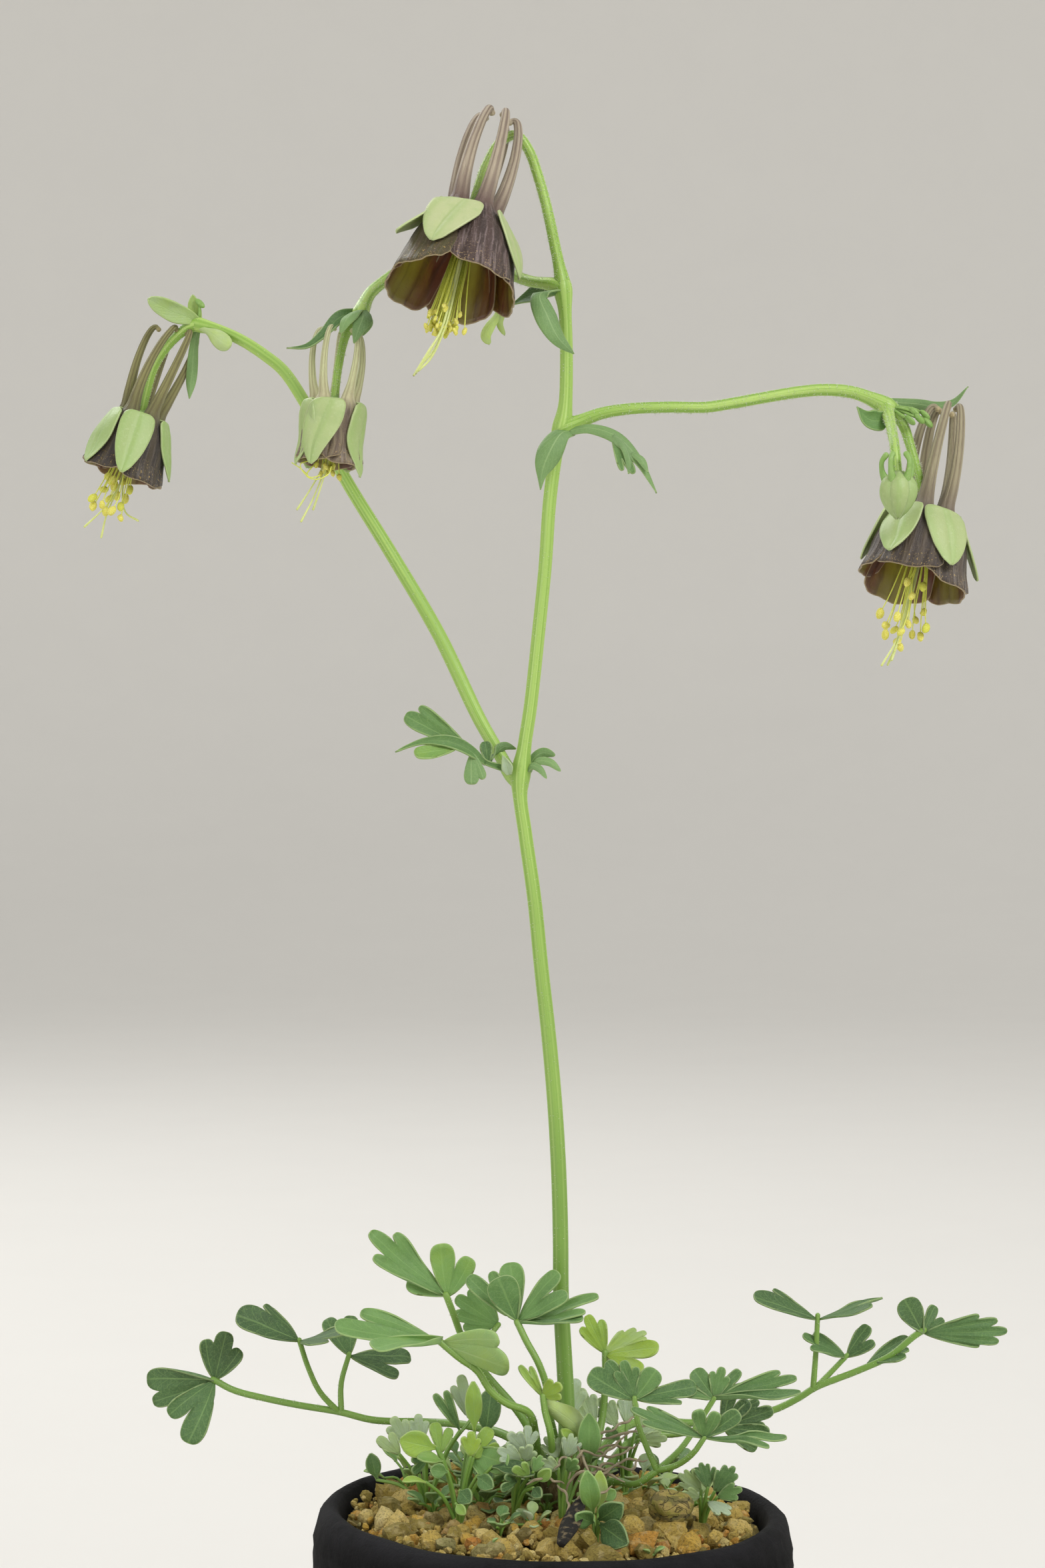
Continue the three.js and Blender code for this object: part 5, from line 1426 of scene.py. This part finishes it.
# ---- Settings ----
class ColumbineSettings(PropertyGroup):
    """Sizes and colours that a user may change before building."""

    floor_colour: colour("Floor", "Colour of the studio floor and backdrop", "E3E1DC")
    key_power: FloatProperty(name="Key light", description="Power of the large light on the right",
                             default=38.0, min=0, unit="POWER")
    pot_colour: colour("Pot", "Colour of the unglazed clay", "060607")
    stem_colour: colour("Stem", "Colour of stems and petioles", "86AB48")
    sepal_colour: colour("Sepal", "Colour of the sepals", "BAC190")
    leaf_edge_colour: colour("Leaf edge", "Colour of the thin rim of the leaves", "B9CC8E")
    hair_share: FloatProperty(name="Hair share", description="Share of the full coat of hairs",
                              default=1.0, min=0, max=2, subtype="FACTOR")
    grain_count: IntProperty(name="Grains", description="Number of gravel grains in the upper layer",
                             default=620, min=50, max=4000)
    largest_grain: length("Largest grain", "Length of the largest grain", 6.2, 12)
    seed: IntProperty(name="Seed", description="Start of the random numbers", default=4, min=0)


# The wide bowl that the pot stands in: distance from the middle and height, in metres.
BOWL_PROFILE = np.array(((0.0, 0.0), (0.6, 0.0), (1.6, 0.0), (2.3, 0.05), (2.8, 0.3), (3.1, 0.8),
                         (3.2, 1.3), (3.2, 1.9)))


# Each lamp: name, place, aim and size in metres, and its share of the key light's power.
LAMPS = (
    ("key", (1.3, -1.5, 1.7), (0, 0.1, 0.19), 1.0, 1.0),
    ("fill", (-1.6, -1.3, 0.7), (0, 0, 0.15), 1.4, 0.3),
    ("rim", (-0.7, 0.9, 1.2), (0, 0, 0.2), 0.6, 0.22),
)
SKY_COLOUR, SKY_STRENGTH = "F2F1EF", 0.62
SENSOR_WIDTH, LENS, CLIP = 36.0, 73.05, (0.01, 20)


class Stage(Operator):
    """Makes the floor, which rises all round into a backdrop, the lights and the camera"""

    bl_idname = "columbine.stage"
    bl_label = "Stage"

    def execute(self, context):
        scene, settings = context.scene, context.scene.columbine
        out, level = evenly(BOWL_PROFILE, 36).T[..., None]
        turn = np.linspace(2 * np.pi, 0, 49)[None]
        piece = Piece()
        piece.surface(joined(out * np.cos(turn), out * np.sin(turn), np.maximum(level, 0)) / MM)
        floor = piece.make("floor", [floor_finish(settings)], "pot")
        for name, place, aim, size, share in LAMPS:
            self.light(scene, name, place, aim, size, settings.key_power * share)
        scene.world = bpy.data.worlds.new("studio")
        scene.world.use_nodes = True
        sky = scene.world.node_tree.nodes["Background"].inputs
        sky["Color"].default_value, sky["Strength"].default_value = tint(SKY_COLOUR), SKY_STRENGTH
        scene.view_settings.view_transform = "Standard"
        scene.camera = bpy.data.objects.new("camera", bpy.data.cameras.new("camera"))
        scene.collection.objects.link(scene.camera)
        scene.camera.location = EYE * MM
        scene.camera.rotation_euler = (np.pi / 2, 0, 0)
        camera = scene.camera.data
        camera.sensor_width, camera.lens = SENSOR_WIDTH, LENS
        camera.clip_start, camera.clip_end = CLIP
        return {"FINISHED"}

    def light(self, scene, name, place, aim, size, power):
        """A square soft light at a place, turned to its aim."""
        lamp = bpy.data.lights.new(name, "AREA")
        lamp.shape, lamp.size, lamp.energy = "SQUARE", size, power
        holder = bpy.data.objects.new(name, lamp)
        scene.collection.objects.link(holder)
        holder.location = place
        way = np.array(aim) - np.array(place)
        tip = float(np.arccos(-way[2] / np.linalg.norm(way)))
        holder.rotation_euler = (tip, 0.0, float(np.arctan2(-way[0], way[1])))


class Pot(Operator):
    """Makes the hand-made pot and gives the soil its finish"""

    bl_idname = "columbine.pot"
    bl_label = "Pot and soil"

    def execute(self, context):
        settings = context.scene.columbine
        piece = Piece()
        grid, rim = pot_grid()
        piece.surface(grid[:, ::-1], rim=rim[:, ::-1])
        pot = piece.make("clay_pot", [pot_finish(settings)], "pot", "pot")
        drain_holes(pot)
        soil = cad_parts["soil"]
        soil.data.materials.clear()
        soil.data.materials.append(soil_finish())
        return {"FINISHED"}


class Gravel(Operator):
    """Fills the pot with loose grains and sets the large stone on them"""

    bl_idname = "columbine.gravel"
    bl_label = "Gravel"

    def execute(self, context):
        settings = context.scene.columbine
        rng = np.random.default_rng(settings.seed)
        piece = Piece()
        out, turn = np.linspace(0, GRAVEL_RADIUS + 0.3, 16)[:, None], round_turn(48)[None]
        x, y = out * np.cos(turn), out * np.sin(turn)
        top = joined(x, y, ground_height(x, y) - BED_DEPTH)
        foot = joined(x[::-1], y[::-1], BED_FOOT)
        piece.smooth = False
        piece.surface(np.concatenate((top, foot))[::-1, ::-1], tone=0.12)
        largest = settings.largest_grain / MM
        grains(piece, rng, settings.grain_count * 3 // 4, 1.6, largest * 0.7, 1.3)
        grains(piece, rng, settings.grain_count, 1.5, largest, 0.1)
        grains(piece, rng, settings.grain_count, 0.7, 1.8, -0.2)
        piece.make("gravel_grains", [gravel_finish()], "gravel", "gravel")
        stone = ball(26, 36)
        push = 0.16 * ripple(stone, 1.7, 21) + 0.03 * ripple(stone, 0.5, 22)
        centre = (*at(STONE_AT)[:2], GRAVEL_TOP + STONE_RISE)
        piece = Piece()
        piece.surface(centre + stone * (1 + push)[..., None] * STONE_SIZE)
        piece.make("striped_stone", [stone_finish()], "gravel", "large_stone")
        return {"FINISHED"}


class Crown(Operator):
    """Makes the rootstock with its dry leaf bases"""

    bl_idname = "columbine.crown"
    bl_label = "Crown"

    def execute(self, context):
        piece = Piece()
        path = joined(*CROWN_AT, np.linspace(*CROWN_ENDS, 34))
        radius = np.interp(path[:, 2], CROWN_LEVELS, CROWN_RADII)
        grid = tube(path, radius, around=28)
        grid = grid + (0.35 * ripple(grid, 3.5, 31))[..., None] * unit(grid - path.mean(0)) * (1, 1, 0)
        piece.round(grid)
        rng = np.random.default_rng(12)
        for _ in range(LEAF_BASES):
            out = outward(rng.uniform(0, 2 * np.pi))
            foot = np.array((*CROWN_AT, rng.uniform(63, 68))) + out * 4.7
            tip = foot + out * rng.uniform(0.4, 2.6) + (0, 0, rng.uniform(3, 6.5))
            path = smooth(np.array((foot, (foot + tip) / 2 + out * 0.4, tip)), 14)
            half = evenly((1.5, 1.7, 1.3, 0.8, 0.1), 14) * rng.uniform(0.7, 1.1)
            strip(piece, path, half, np.cross(out, (0, 0, 1)), rng.uniform(0, 1), thickness=0.18,
                  under=0, cup=0.5, columns=7)
        piece.make("rootstock", [wood_finish("bark", "4A3922", "8E7A4E")], "crown", "crown")
        return {"FINISHED"}


class Stems(Operator):
    """Makes the stems and flower stalks with their coat of hairs"""

    bl_idname = "columbine.stems"
    bl_label = "Stems"

    def execute(self, context):
        settings = context.scene.columbine
        for number, (name, (route, radii, hair, reach)) in enumerate(STEMS.items()):
            piece = Piece()
            path, radius = stem_path(route, radii)
            piece.rod(path, radius, around=18, tone=number * 0.1, ribs=ridges)
            count = int(hair * length_of(path) * settings.hair_share)
            hairs(piece, path, radius, count, reach, 1, number)
            piece.make(f"fine_{name}", stem_finishes(settings), "stem", name)
        return {"FINISHED"}


class Petals(Operator):
    """Makes the spurred petals of the four open flowers"""

    bl_idname = "columbine.petals"
    bl_label = "Petals"

    def execute(self, context):
        for name, flower in FLOWERS.items():
            finishes = [petal_finish(name), lining_finish(name)]
            for index in range(PETALS):
                piece = Piece()
                grid, u = petal_grid(flower, index)
                v = np.abs(np.linspace(-1, 1, grid.shape[1]))[None]
                rim = np.where(u[:, None] > 0.7, beyond(grid), 9.0)
                piece.surface(grid[:, ::-1], thickness=PETAL_THICKNESS, under=1, along=u[:, None],
                              across=v[:, ::-1], rim=rim[:, ::-1], tone=0.1 + 0.17 * index)
                part = f"petal_{index + 1}"
                piece.make(f"{name}_{part}", finishes, "petal", f"{name}_flower_{part}")
        return {"FINISHED"}


class Sepals(Operator):
    """Makes the calyx of each flower: five sepals on a small receptacle"""

    bl_idname = "columbine.sepals"
    bl_label = "Sepals"

    def execute(self, context):
        finish = finish_once("sepal", sepal_finish, context.scene.columbine)
        for name, flower in FLOWERS.items():
            piece = Piece()
            for index, shape in enumerate(flower["sepals"]):
                sepal(piece, flower, index, shape, tone=0.1 + 0.1 * (index % 3) + flower["green"])
            path = polar(flower, np.zeros(5), np.zeros(5), np.linspace(-0.8, 0.9, 5))
            radius = np.array((1.2, 1.8, 1.9, 1.5, 0.9)) * flower["girth"]
            piece.rod(path, radius, around=20, tone=0.9)
            piece.make(f"{name}_calyx", [finish], "sepal", f"{name}_flower_calyx")
        return {"FINISHED"}


class Stamens(Operator):
    """Makes the stamens and styles of each flower"""

    bl_idname = "columbine.stamens"
    bl_label = "Stamens"

    def execute(self, context):
        finishes = stamen_finishes()
        for name, flower in FLOWERS.items():
            piece = stamens(name, flower)
            piece.make(f"{name}_stamens", finishes, "stamen", f"{name}_flower_stamens")
        return {"FINISHED"}


BUD_AT, BUD_LONG, BUD_THICK, UPRIGHT = [1347, 744, -13.8], 7.4, 2.7, (0, 0, 1)
# A spur of the bud: distance from its axis and height above its middle.
BUD_SPUR = ((1.7, 2.1), (2.5, 4.0), (2.55, 5.6), (1.9, 6.6))
# Stalks of the smallest buds, each of which hangs at its stalk's end.
SMALLEST_BUDS = (
    [[1336, 612, -2], [1352, 612, -3.4], [1372, 618, -4]],
    [[1344, 613, -2.6], [1366, 622, -4], [1380, 628, -4.6]],
    [[1350, 610, -2], [1372, 614, -3], [1388, 622, -3.6]],
    [[1350, 612, -2.6], [1374, 622, -3.6], [1392, 634, -4]],
    [[1340, 614, -3], [1352, 622, -4.4], [1366, 630, -5]],
    [[296, 484, 25], [299, 470, 24.6], [300, 455, 24.4]],
)


class Bud(Operator):
    """Makes the closed bud, its short spurs and the smallest buds at the fork"""

    bl_idname = "columbine.bud"
    bl_label = "Bud"

    def execute(self, context):
        finish = finish_once("sepal", sepal_finish, context.scene.columbine)
        piece = Piece()
        centre = at(BUD_AT)
        for index in range(PETALS):
            middle = (index + 0.05) * PETAL_STEP
            part = np.linspace(0, 1, 30)[:, None]
            v = np.linspace(-1, 1, 15)[None]
            radius = BUD_THICK * evenly((0.3, 0.82, 1.0, 1.0, 0.84, 0.56, 0.1), 30)[:, None]
            bulge = 1.04 - 0.16 * v ** 2 + 0.07 * (index % 2)
            angle = middle + v * PETAL_STEP * 0.6 * (1 + 0.1 * part)
            height = BUD_LONG * (0.5 - part + 0.03 * (1 - v ** 2))
            x, y = radius * bulge * np.sin(angle), -radius * bulge * np.cos(angle)
            grid = centre + joined(x, y, height)
            piece.surface(grid[:, ::-1], thickness=0.3, along=part, across=v, rim=beyond(grid),
                          tone=0.5 + 0.12 * (index % 2))
            way = outward(middle + 0.5 * PETAL_STEP)
            path = [way * out + (0, 0, level) for out, level in BUD_SPUR]
            path = smooth(centre + np.array(path), 16)
            piece.rod(path, evenly((0.85, 0.6, 0.42, 0.4, 0.5), 16), tone=1.0)
        core, marks = egg(centre, UPRIGHT, BUD_LONG * 0.42, BUD_THICK * 0.74, 18, 22, groove=0.0)
        piece.surface(core, tone=0.8, **marks)
        piece.make("closed_bud", [finish], "sepal", "bud")
        tiny = Piece()
        for number, route in enumerate(SMALLEST_BUDS):
            body, marks = egg(at(route[-1]), (0.7, -0.1, -0.7), 1.1, 0.55, groove=0.2, seed=number)
            tiny.surface(body, tone=1.0, **marks)
        for route in SMALLEST_BUDS:
            tiny.rod(smooth(at(route), 12), 0.26, around=8, tone=1.0)
        tiny.make("smallest_buds", [finish], "sepal")
        return {"FINISHED"}


class NodeLeaves(Operator):
    """Makes the lobed bracts where the stems fork"""

    bl_idname = "columbine.node_leaves"
    bl_label = "Node leaves"

    def execute(self, context):
        finishes = green_finishes(context.scene.columbine)
        for name, blades in NODE_LEAVES.items():
            piece = Piece()
            for blade in blades:
                bract(piece, *blade)
            for base, tip, *form in NODE_LEAFLETS.get(name, ()):
                fan(piece, at(base), at(tip), *form, columns=65, rows=10)
            piece.make(f"fine_{name}", finishes, "leaf", name)
        return {"FINISHED"}


class BasalLeaves(Operator):
    """Makes the lobed leaves that rise from the crown"""

    bl_idname = "columbine.basal_leaves"
    bl_label = "Basal leaves"

    def execute(self, context):
        finishes = green_finishes(context.scene.columbine)
        for number, (name, (foot, route, twigs, blades, tone)) in enumerate(BASAL_LEAVES.items()):
            piece = Piece()
            stalk(piece, np.concatenate((beside_crown(foot), at(route))), PETIOLE, hair=5, seed=number)
            for twig in twigs:
                stalk(piece, at(twig), TWIG, hair=4, seed=number + 20)
            for order, (base, tip, spread, shape, *face) in enumerate(blades):
                shade = tone + 0.06 * (order % 3 - 1)
                fan(piece, at(base), at(tip), spread, shape, shade, *face)
            slot = "young_leaf" if name in ("yellow_leaf", "young_leaf") else "leaf"
            piece.make(f"fine_{name}", finishes, slot, name)
        return {"FINISHED"}


# Tufts in the gravel: the foot that their petioles leave, then each leaf's base, tip, spread,
# kind (an oval has none, its spread is its half width), tone and, if not FRONT, face.
LEFT_TUFT = (
    [688, 2262, -10],
    (([712, 2148, -9], [710, 2072, -9], 1.35, None, 0.66),
     ([728, 2156, -4], [738, 2080, -3], 1.9, None, 0.14),
     ([655, 2172, -12], [600, 2160, -13], 2.1, None, 0.66),
     ([662, 2180, -10], [664, 2134, -8], 32, "two", 0.62),
     ([664, 2192, -12], [626, 2186, -14], 1.1, None, 0.56, (0, -0.7, 0.7)),
     ([700, 2176, -8], [758, 2208, -13], 30, "mitten", 0.5),
     ([710, 2188, -10], [746, 2152, -9], 34, "two", 0.68),
     ([706, 2186, -11], [708, 2148, -11], 36, "three", 0.7),
     ([738, 2200, -12], [802, 2212, -15], 1.5, None, 0.04, (0, -0.7, 0.7)),
     ([640, 2224, -13], [604, 2222, -15], 0.9, None, 0.7, UP),
     ([690, 2236, -14], [706, 2254, -17], 1.4, None, 0.2),
     ([684, 2256, -18], [698, 2272, -20], 0.8, None, 0.62),
     ([672, 2208, -12], [646, 2204, -13], 1.2, None, 0.4),
     ([716, 2214, -13], [740, 2232, -16], 1.3, None, 0.3)),
)
TUFTS = (
    ([640, 2240, 2],
     (([612, 2168, 3], [590, 2126, 3], 34, "three", 0.93),
      ([630, 2164, 5], [628, 2122, 6], 34, "three", 0.97),
      ([600, 2182, 0], [574, 2150, 0], 30, "two", 0.88), ([690, 2146, 6], [660, 2088, 6], 15, "heart", 0.3),
      ([706, 2130, 8], [692, 2064, 9], 26, "three", 0.95),
      ([640, 2190, -2], [616, 2200, -5], 30, "two", 0.3),
      ([566, 2220, 4], [556, 2180, 4], 1.2, None, 0.3))),
    ([770, 2234, -8],
     (([788, 2176, -10], [764, 2150, -12], 34, "three", 1.0),
      ([792, 2172, -10], [800, 2140, -9], 30, "two", 1.0),
      ([782, 2190, -12], [748, 2174, -13], 34, "three", 0.97),
      ([788, 2192, -13], [796, 2168, -15], 36, "three", 0.96),
      ([794, 2214, -15], [776, 2196, -17], 30, "two", 0.6),
      ([800, 2208, -15], [812, 2184, -15], 34, "three", 0.5),
      ([776, 2222, -14], [752, 2224, -17], 30, "two", 0.12),
      ([806, 2222, -16], [826, 2204, -18], 1.0, None, 0.6),
      ([770, 2206, -8], [744, 2194, -7], 34, "three", 0.28),
      ([800, 2232, -17], [812, 2246, -20], 1.0, None, 0.1))),
    ([842, 2230, -12],
     (([836, 2188, -9], [822, 2154, -8], 36, "five", 0.95),
      ([850, 2186, -10], [862, 2152, -10], 36, "five", 0.97),
      ([838, 2204, -13], [812, 2190, -14], 34, "three", 0.92),
      ([850, 2206, -14], [866, 2190, -16], 34, "three", 0.4),
      ([866, 2170, -8], [842, 2144, -9], 1.0, None, 0.7, (0, -0.7, 0.7)),
      ([884, 2196, -8], [884, 2120, -10], 1.8, None, 0.46),
      ([850, 2130, 6], [866, 2070, 8], 30, "three", 0.97),
      ([892, 2140, 8], [872, 2084, 9], 28, "three", 0.93))),
    ([894, 2284, -22],
     (([890, 2272, -20], [880, 2206, -23], 1.6, None, 0.54),
      ([898, 2268, -16], [900, 2206, -17], 1.3, None, 0.8),
      ([898, 2280, -22], [934, 2256, -27], 1.8, None, 0.16),
      ([900, 2286, -23], [942, 2316, -30], 2.2, None, 0.08),
      ([890, 2284, -22], [864, 2272, -27], 1.5, None, 0.34),
      ([902, 2250, -15], [924, 2236, -15], 1.0, None, 0.5))),
    ([936, 2190, 8],
     (([926, 2140, 9], [900, 2098, 10], 32, "three", 0.93),
      ([940, 2136, 10], [944, 2092, 12], 32, "three", 0.97),
      ([952, 2150, 8], [986, 2124, 10], 30, "five", 0.93),
      ([958, 2160, 6], [1000, 2158, 6], 26, "three", 0.9),
      ([930, 2160, 4], [910, 2142, 4], 32, "three", 0.34))),
    ([1052, 2268, -8],
     (([1052, 2236, -8], [1022, 2208, -8], 34, "five", 0.9),
      ([1062, 2232, -9], [1056, 2194, -8], 36, "five", 0.3),
      ([1072, 2238, -9], [1100, 2200, -9], 36, "toothed", 0.24),
      ([1076, 2246, -10], [1112, 2234, -11], 30, "three", 0.36),
      ([1062, 2252, -11], [1094, 2272, -15], 24, "three", 0.97, (0, -0.7, 0.7)),
      ([1050, 2246, -10], [1024, 2240, -12], 30, "three", 0.88))),
)
# Low seedlings among the grains: foot, count, reach, half width and tone.
ROSETTES = (
    ([728, 2232, 2], 9, 7.4, 1.5, 0.3), ([772, 2200, 12], 9, 7.6, 1.5, 0.94),
    ([690, 2220, 12], 8, 8.0, 1.6, 0.86), ([800, 2262, -15], 7, 3.0, 0.9, 0.92),
    ([880, 2236, -8], 7, 3.4, 1.0, 0.66), ([912, 2230, 2], 7, 4.6, 1.2, 0.3),
    ([650, 2246, -4], 7, 4.6, 1.2, 0.34), ([750, 2264, -16], 6, 2.8, 0.9, 0.34),
    ([845, 2190, 16], 9, 7.0, 1.5, 0.32), ([960, 2200, 14], 7, 5.4, 1.3, 0.9),
    ([1040, 2215, 6], 7, 4.2, 1.1, 0.9), ([1008, 2176, 12], 6, 3.4, 0.9, 0.9),
    ([975, 2296, -26], 3, 1.8, 0.7, 0.5), ([742, 2290, -26], 4, 1.6, 0.6, 0.5),
    ([700, 2180, 24], 7, 6.0, 1.5, 0.3), ([900, 2168, 25], 8, 6.0, 1.4, 0.8),
    ([800, 2168, 27], 7, 5.6, 1.4, 0.4), ([1000, 2180, 24], 6, 5.0, 1.3, 0.3),
    ([612, 2216, 14], 7, 6.0, 1.4, 0.5), ([820, 2236, -4], 7, 4.6, 1.1, 0.2),
    ([790, 2218, 2], 8, 8.6, 1.5, 0.06), ([850, 2224, 4], 8, 8.4, 1.5, 0.12),
    ([724, 2216, -2], 7, 7.0, 1.5, 0.08),
)
# The broad pale foot of a petiole beside the main stem.
SHEATH = ([[868, 2166, -6], [862, 2136, -8], [840, 2118, -9], [812, 2102, -10]],
          [0.8, 1.5, 1.7, 1.2, 0.5], (-1, -0.1, -1), 0.84)
# Dry roots and stalks on the gravel round the crown, and a dark splinter.
DRY_ROOTS = (
    [[846, 2238, -14], [870, 2206, -16], [896, 2214, -14], [930, 2196, -10]],
    [[852, 2216, -12], [874, 2176, -12], [902, 2182, -9], [944, 2150, -4]],
    [[858, 2254, -20], [880, 2236, -21], [902, 2242, -20], [918, 2232, -18]],
    [[866, 2170, -10], [880, 2206, -14], [872, 2240, -18], [884, 2262, -21]],
    [[900, 2160, -6], [930, 2152, -4], [966, 2140, 0], [1002, 2128, 4]],
    [[880, 2198, -12], [910, 2206, -12], [940, 2190, -8], [972, 2192, -6]],
    [[838, 2228, -16], [852, 2250, -20], [850, 2276, -23]],
    [[790, 2226, -16], [822, 2216, -17], [846, 2226, -16]],
    [[876, 2150, -5], [906, 2148, -3], [934, 2136, 0], [958, 2122, 3]],
    [[870, 2182, -9], [904, 2170, -7], [946, 2172, -4]],
    [[884, 2214, -13], [914, 2196, -10], [944, 2204, -9], [960, 2186, -6]],
    [[862, 2200, -13], [846, 2186, -11], [832, 2206, -14]],
    [[868, 2224, -16], [890, 2228, -16], [906, 2210, -12], [936, 2222, -14]],
    [[890, 2176, -8], [922, 2184, -8], [958, 2164, -3]],
)
SPLINTER = [[872, 2250, -20], [862, 2274, -24], [852, 2296, -28], [842, 2318, -31]]


def oval_leaf(piece, root, end, half, tone, face=FRONT):
    """An oval blade that arches towards its face."""
    face = unit(np.asarray(face, float))
    span = np.linalg.norm(end - root)
    path = smooth(np.array((root, (root + end) / 2 + face * 0.1 * span, end)), 14)
    width = half * evenly((0.14, 0.3, 0.78, 1.0, 0.98, 0.74, 0.14), 14)
    strip(piece, path, width, unit(np.cross(end - root, face)), tone, cup=0.3, columns=7, wave=0.05,
          seed=span)


def tuft(piece, foot, leaves):
    """Leaves whose petioles bow up from one foot on the gravel."""
    start = on_ground(at(foot))
    for number, (base, tip, spread, shape, *form) in enumerate(leaves):
        neck, end = at(base), at(tip)
        if shape is None:
            oval_leaf(piece, neck, end, spread, *form)
        else:
            fan(piece, neck, end, spread, shape, *form, columns=41, rows=8)
        middle = start * 0.5 + neck * 0.5 + (0, 0, 0.15 * np.linalg.norm(neck - start))
        stalk(piece, np.array((start, middle, neck)), (0.36, 0.3, 0.28), seed=number, around=8)


def rosette(piece, foot, count, reach, half, tone, seed):
    """Oval leaves on petioles that spread from one foot: each next one turns by the golden
    angle and leans out further, and its blade faces up and in."""
    rng = np.random.default_rng(seed)
    for number in range(count):
        turn = number * np.pi * GOLDEN + rng.normal(seed, 0.2)
        lean = np.radians(10 + 62 * (number + 0.5) / count + rng.normal(0, 6))
        out = outward(turn)
        way = out * np.sin(lean) + (0, 0, np.cos(lean))
        neck = foot + way * reach * rng.uniform(0.5, 1.0)
        face = np.array((0, 0, 1.0)) * np.sin(lean + 0.4) - out * np.cos(lean + 0.4)
        size = half * rng.uniform(0.75, 1.2)
        end = neck + unit(way + 0.5 * out) * size * 2.6
        oval_leaf(piece, neck, end, size, tone + rng.normal(0, 0.03), face)
        middle = (foot + neck) / 2 + (0, 0, 0.2 * reach)
        stalk(piece, np.array((foot, middle, neck)), (0.3, 0.25, 0.22), seed=number, around=6)


class Seedlings(Operator):
    """Makes the tufts and seedlings that grow in the gravel"""

    bl_idname = "columbine.seedlings"
    bl_label = "Seedlings"

    def execute(self, context):
        finishes = green_finishes(context.scene.columbine)
        piece = Piece()
        tuft(piece, *LEFT_TUFT)
        piece.make("seedling_left", finishes, "young_leaf", "left_seedling")
        for number, growth in enumerate(TUFTS):
            piece = Piece()
            tuft(piece, *growth)
            piece.make(f"tuft_{number + 1}", finishes, "young_leaf")
        piece = Piece()
        bract(piece, *SHEATH, cup=0.6)
        for number, (foot, *form) in enumerate(ROSETTES):
            rosette(piece, on_ground(at(foot)), *form, seed=number)
        piece.make("low_seedlings", finishes, "young_leaf")
        return {"FINISHED"}


class DryRoots(Operator):
    """Lays dry roots and a dark splinter on the gravel"""

    bl_idname = "columbine.dry_roots"
    bl_label = "Dry roots"

    def execute(self, context):
        piece = Piece()
        for number, route in enumerate(DRY_ROOTS):
            path = smooth(at(route), 34)
            waver = joined(*(ripple(path, 3.0, 60 + number * 3 + axis) for axis in range(3)))
            path = lifted(path + 0.35 * waver, 0.8)
            radius = evenly((0.14, 0.26, 0.2, 0.24, 0.1), 34)
            piece.rod(path, radius, around=6, tone=number / len(DRY_ROOTS))
        piece.make("dry_roots", [wood_finish("straw", "8E7C5E", "CFC2A4")], "crown")
        piece = Piece()
        path = lifted(smooth(at(SPLINTER), 24), 1.0)
        half = evenly((0.4, 1.2, 1.5, 1.2, 0.5), 24)
        strip(piece, path, half, (1, 0.2, 0.2), thickness=0.9, under=0, cup=0.3)
        piece.make("splinter", [wood_finish("dark_wood", "0C0A08", "1C1610")], "crown")
        return {"FINISHED"}


class ColumbinePanel(Panel):
    """Lists the settings and the pieces in the sidebar"""

    bl_idname = "VIEW3D_PT_columbine"
    bl_label = "Columbine"
    bl_space_type = "VIEW_3D"
    bl_region_type = "UI"
    bl_category = "Columbine"

    def draw(self, context):
        for name in ColumbineSettings.__annotations__:
            self.layout.prop(context.scene.columbine, name)
        for operator in OPERATORS:
            self.layout.operator(operator.bl_idname)


OPERATORS = (
    Stage, Pot, Gravel, Crown, Stems, Petals, Sepals, Stamens, Bud, NodeLeaves, BasalLeaves, Seedlings,
    DryRoots,
)
CLASSES = (ColumbineSettings, *OPERATORS, ColumbinePanel)


def register():
    """Makes the settings, the operators and the panel known to Blender."""
    for made in CLASSES:
        bpy.utils.register_class(made)
    bpy.types.Scene.columbine = PointerProperty(type=ColumbineSettings)


def unregister():
    """Takes the settings, the operators and the panel out of Blender again."""
    del bpy.types.Scene.columbine
    for made in reversed(CLASSES):
        bpy.utils.unregister_class(made)


def main():
    """Builds every piece."""
    register()
    for operator in OPERATORS:
        group, name = operator.bl_idname.split(".")
        getattr(getattr(bpy.ops, group), name)()


if __name__ == "__main__":
    main()
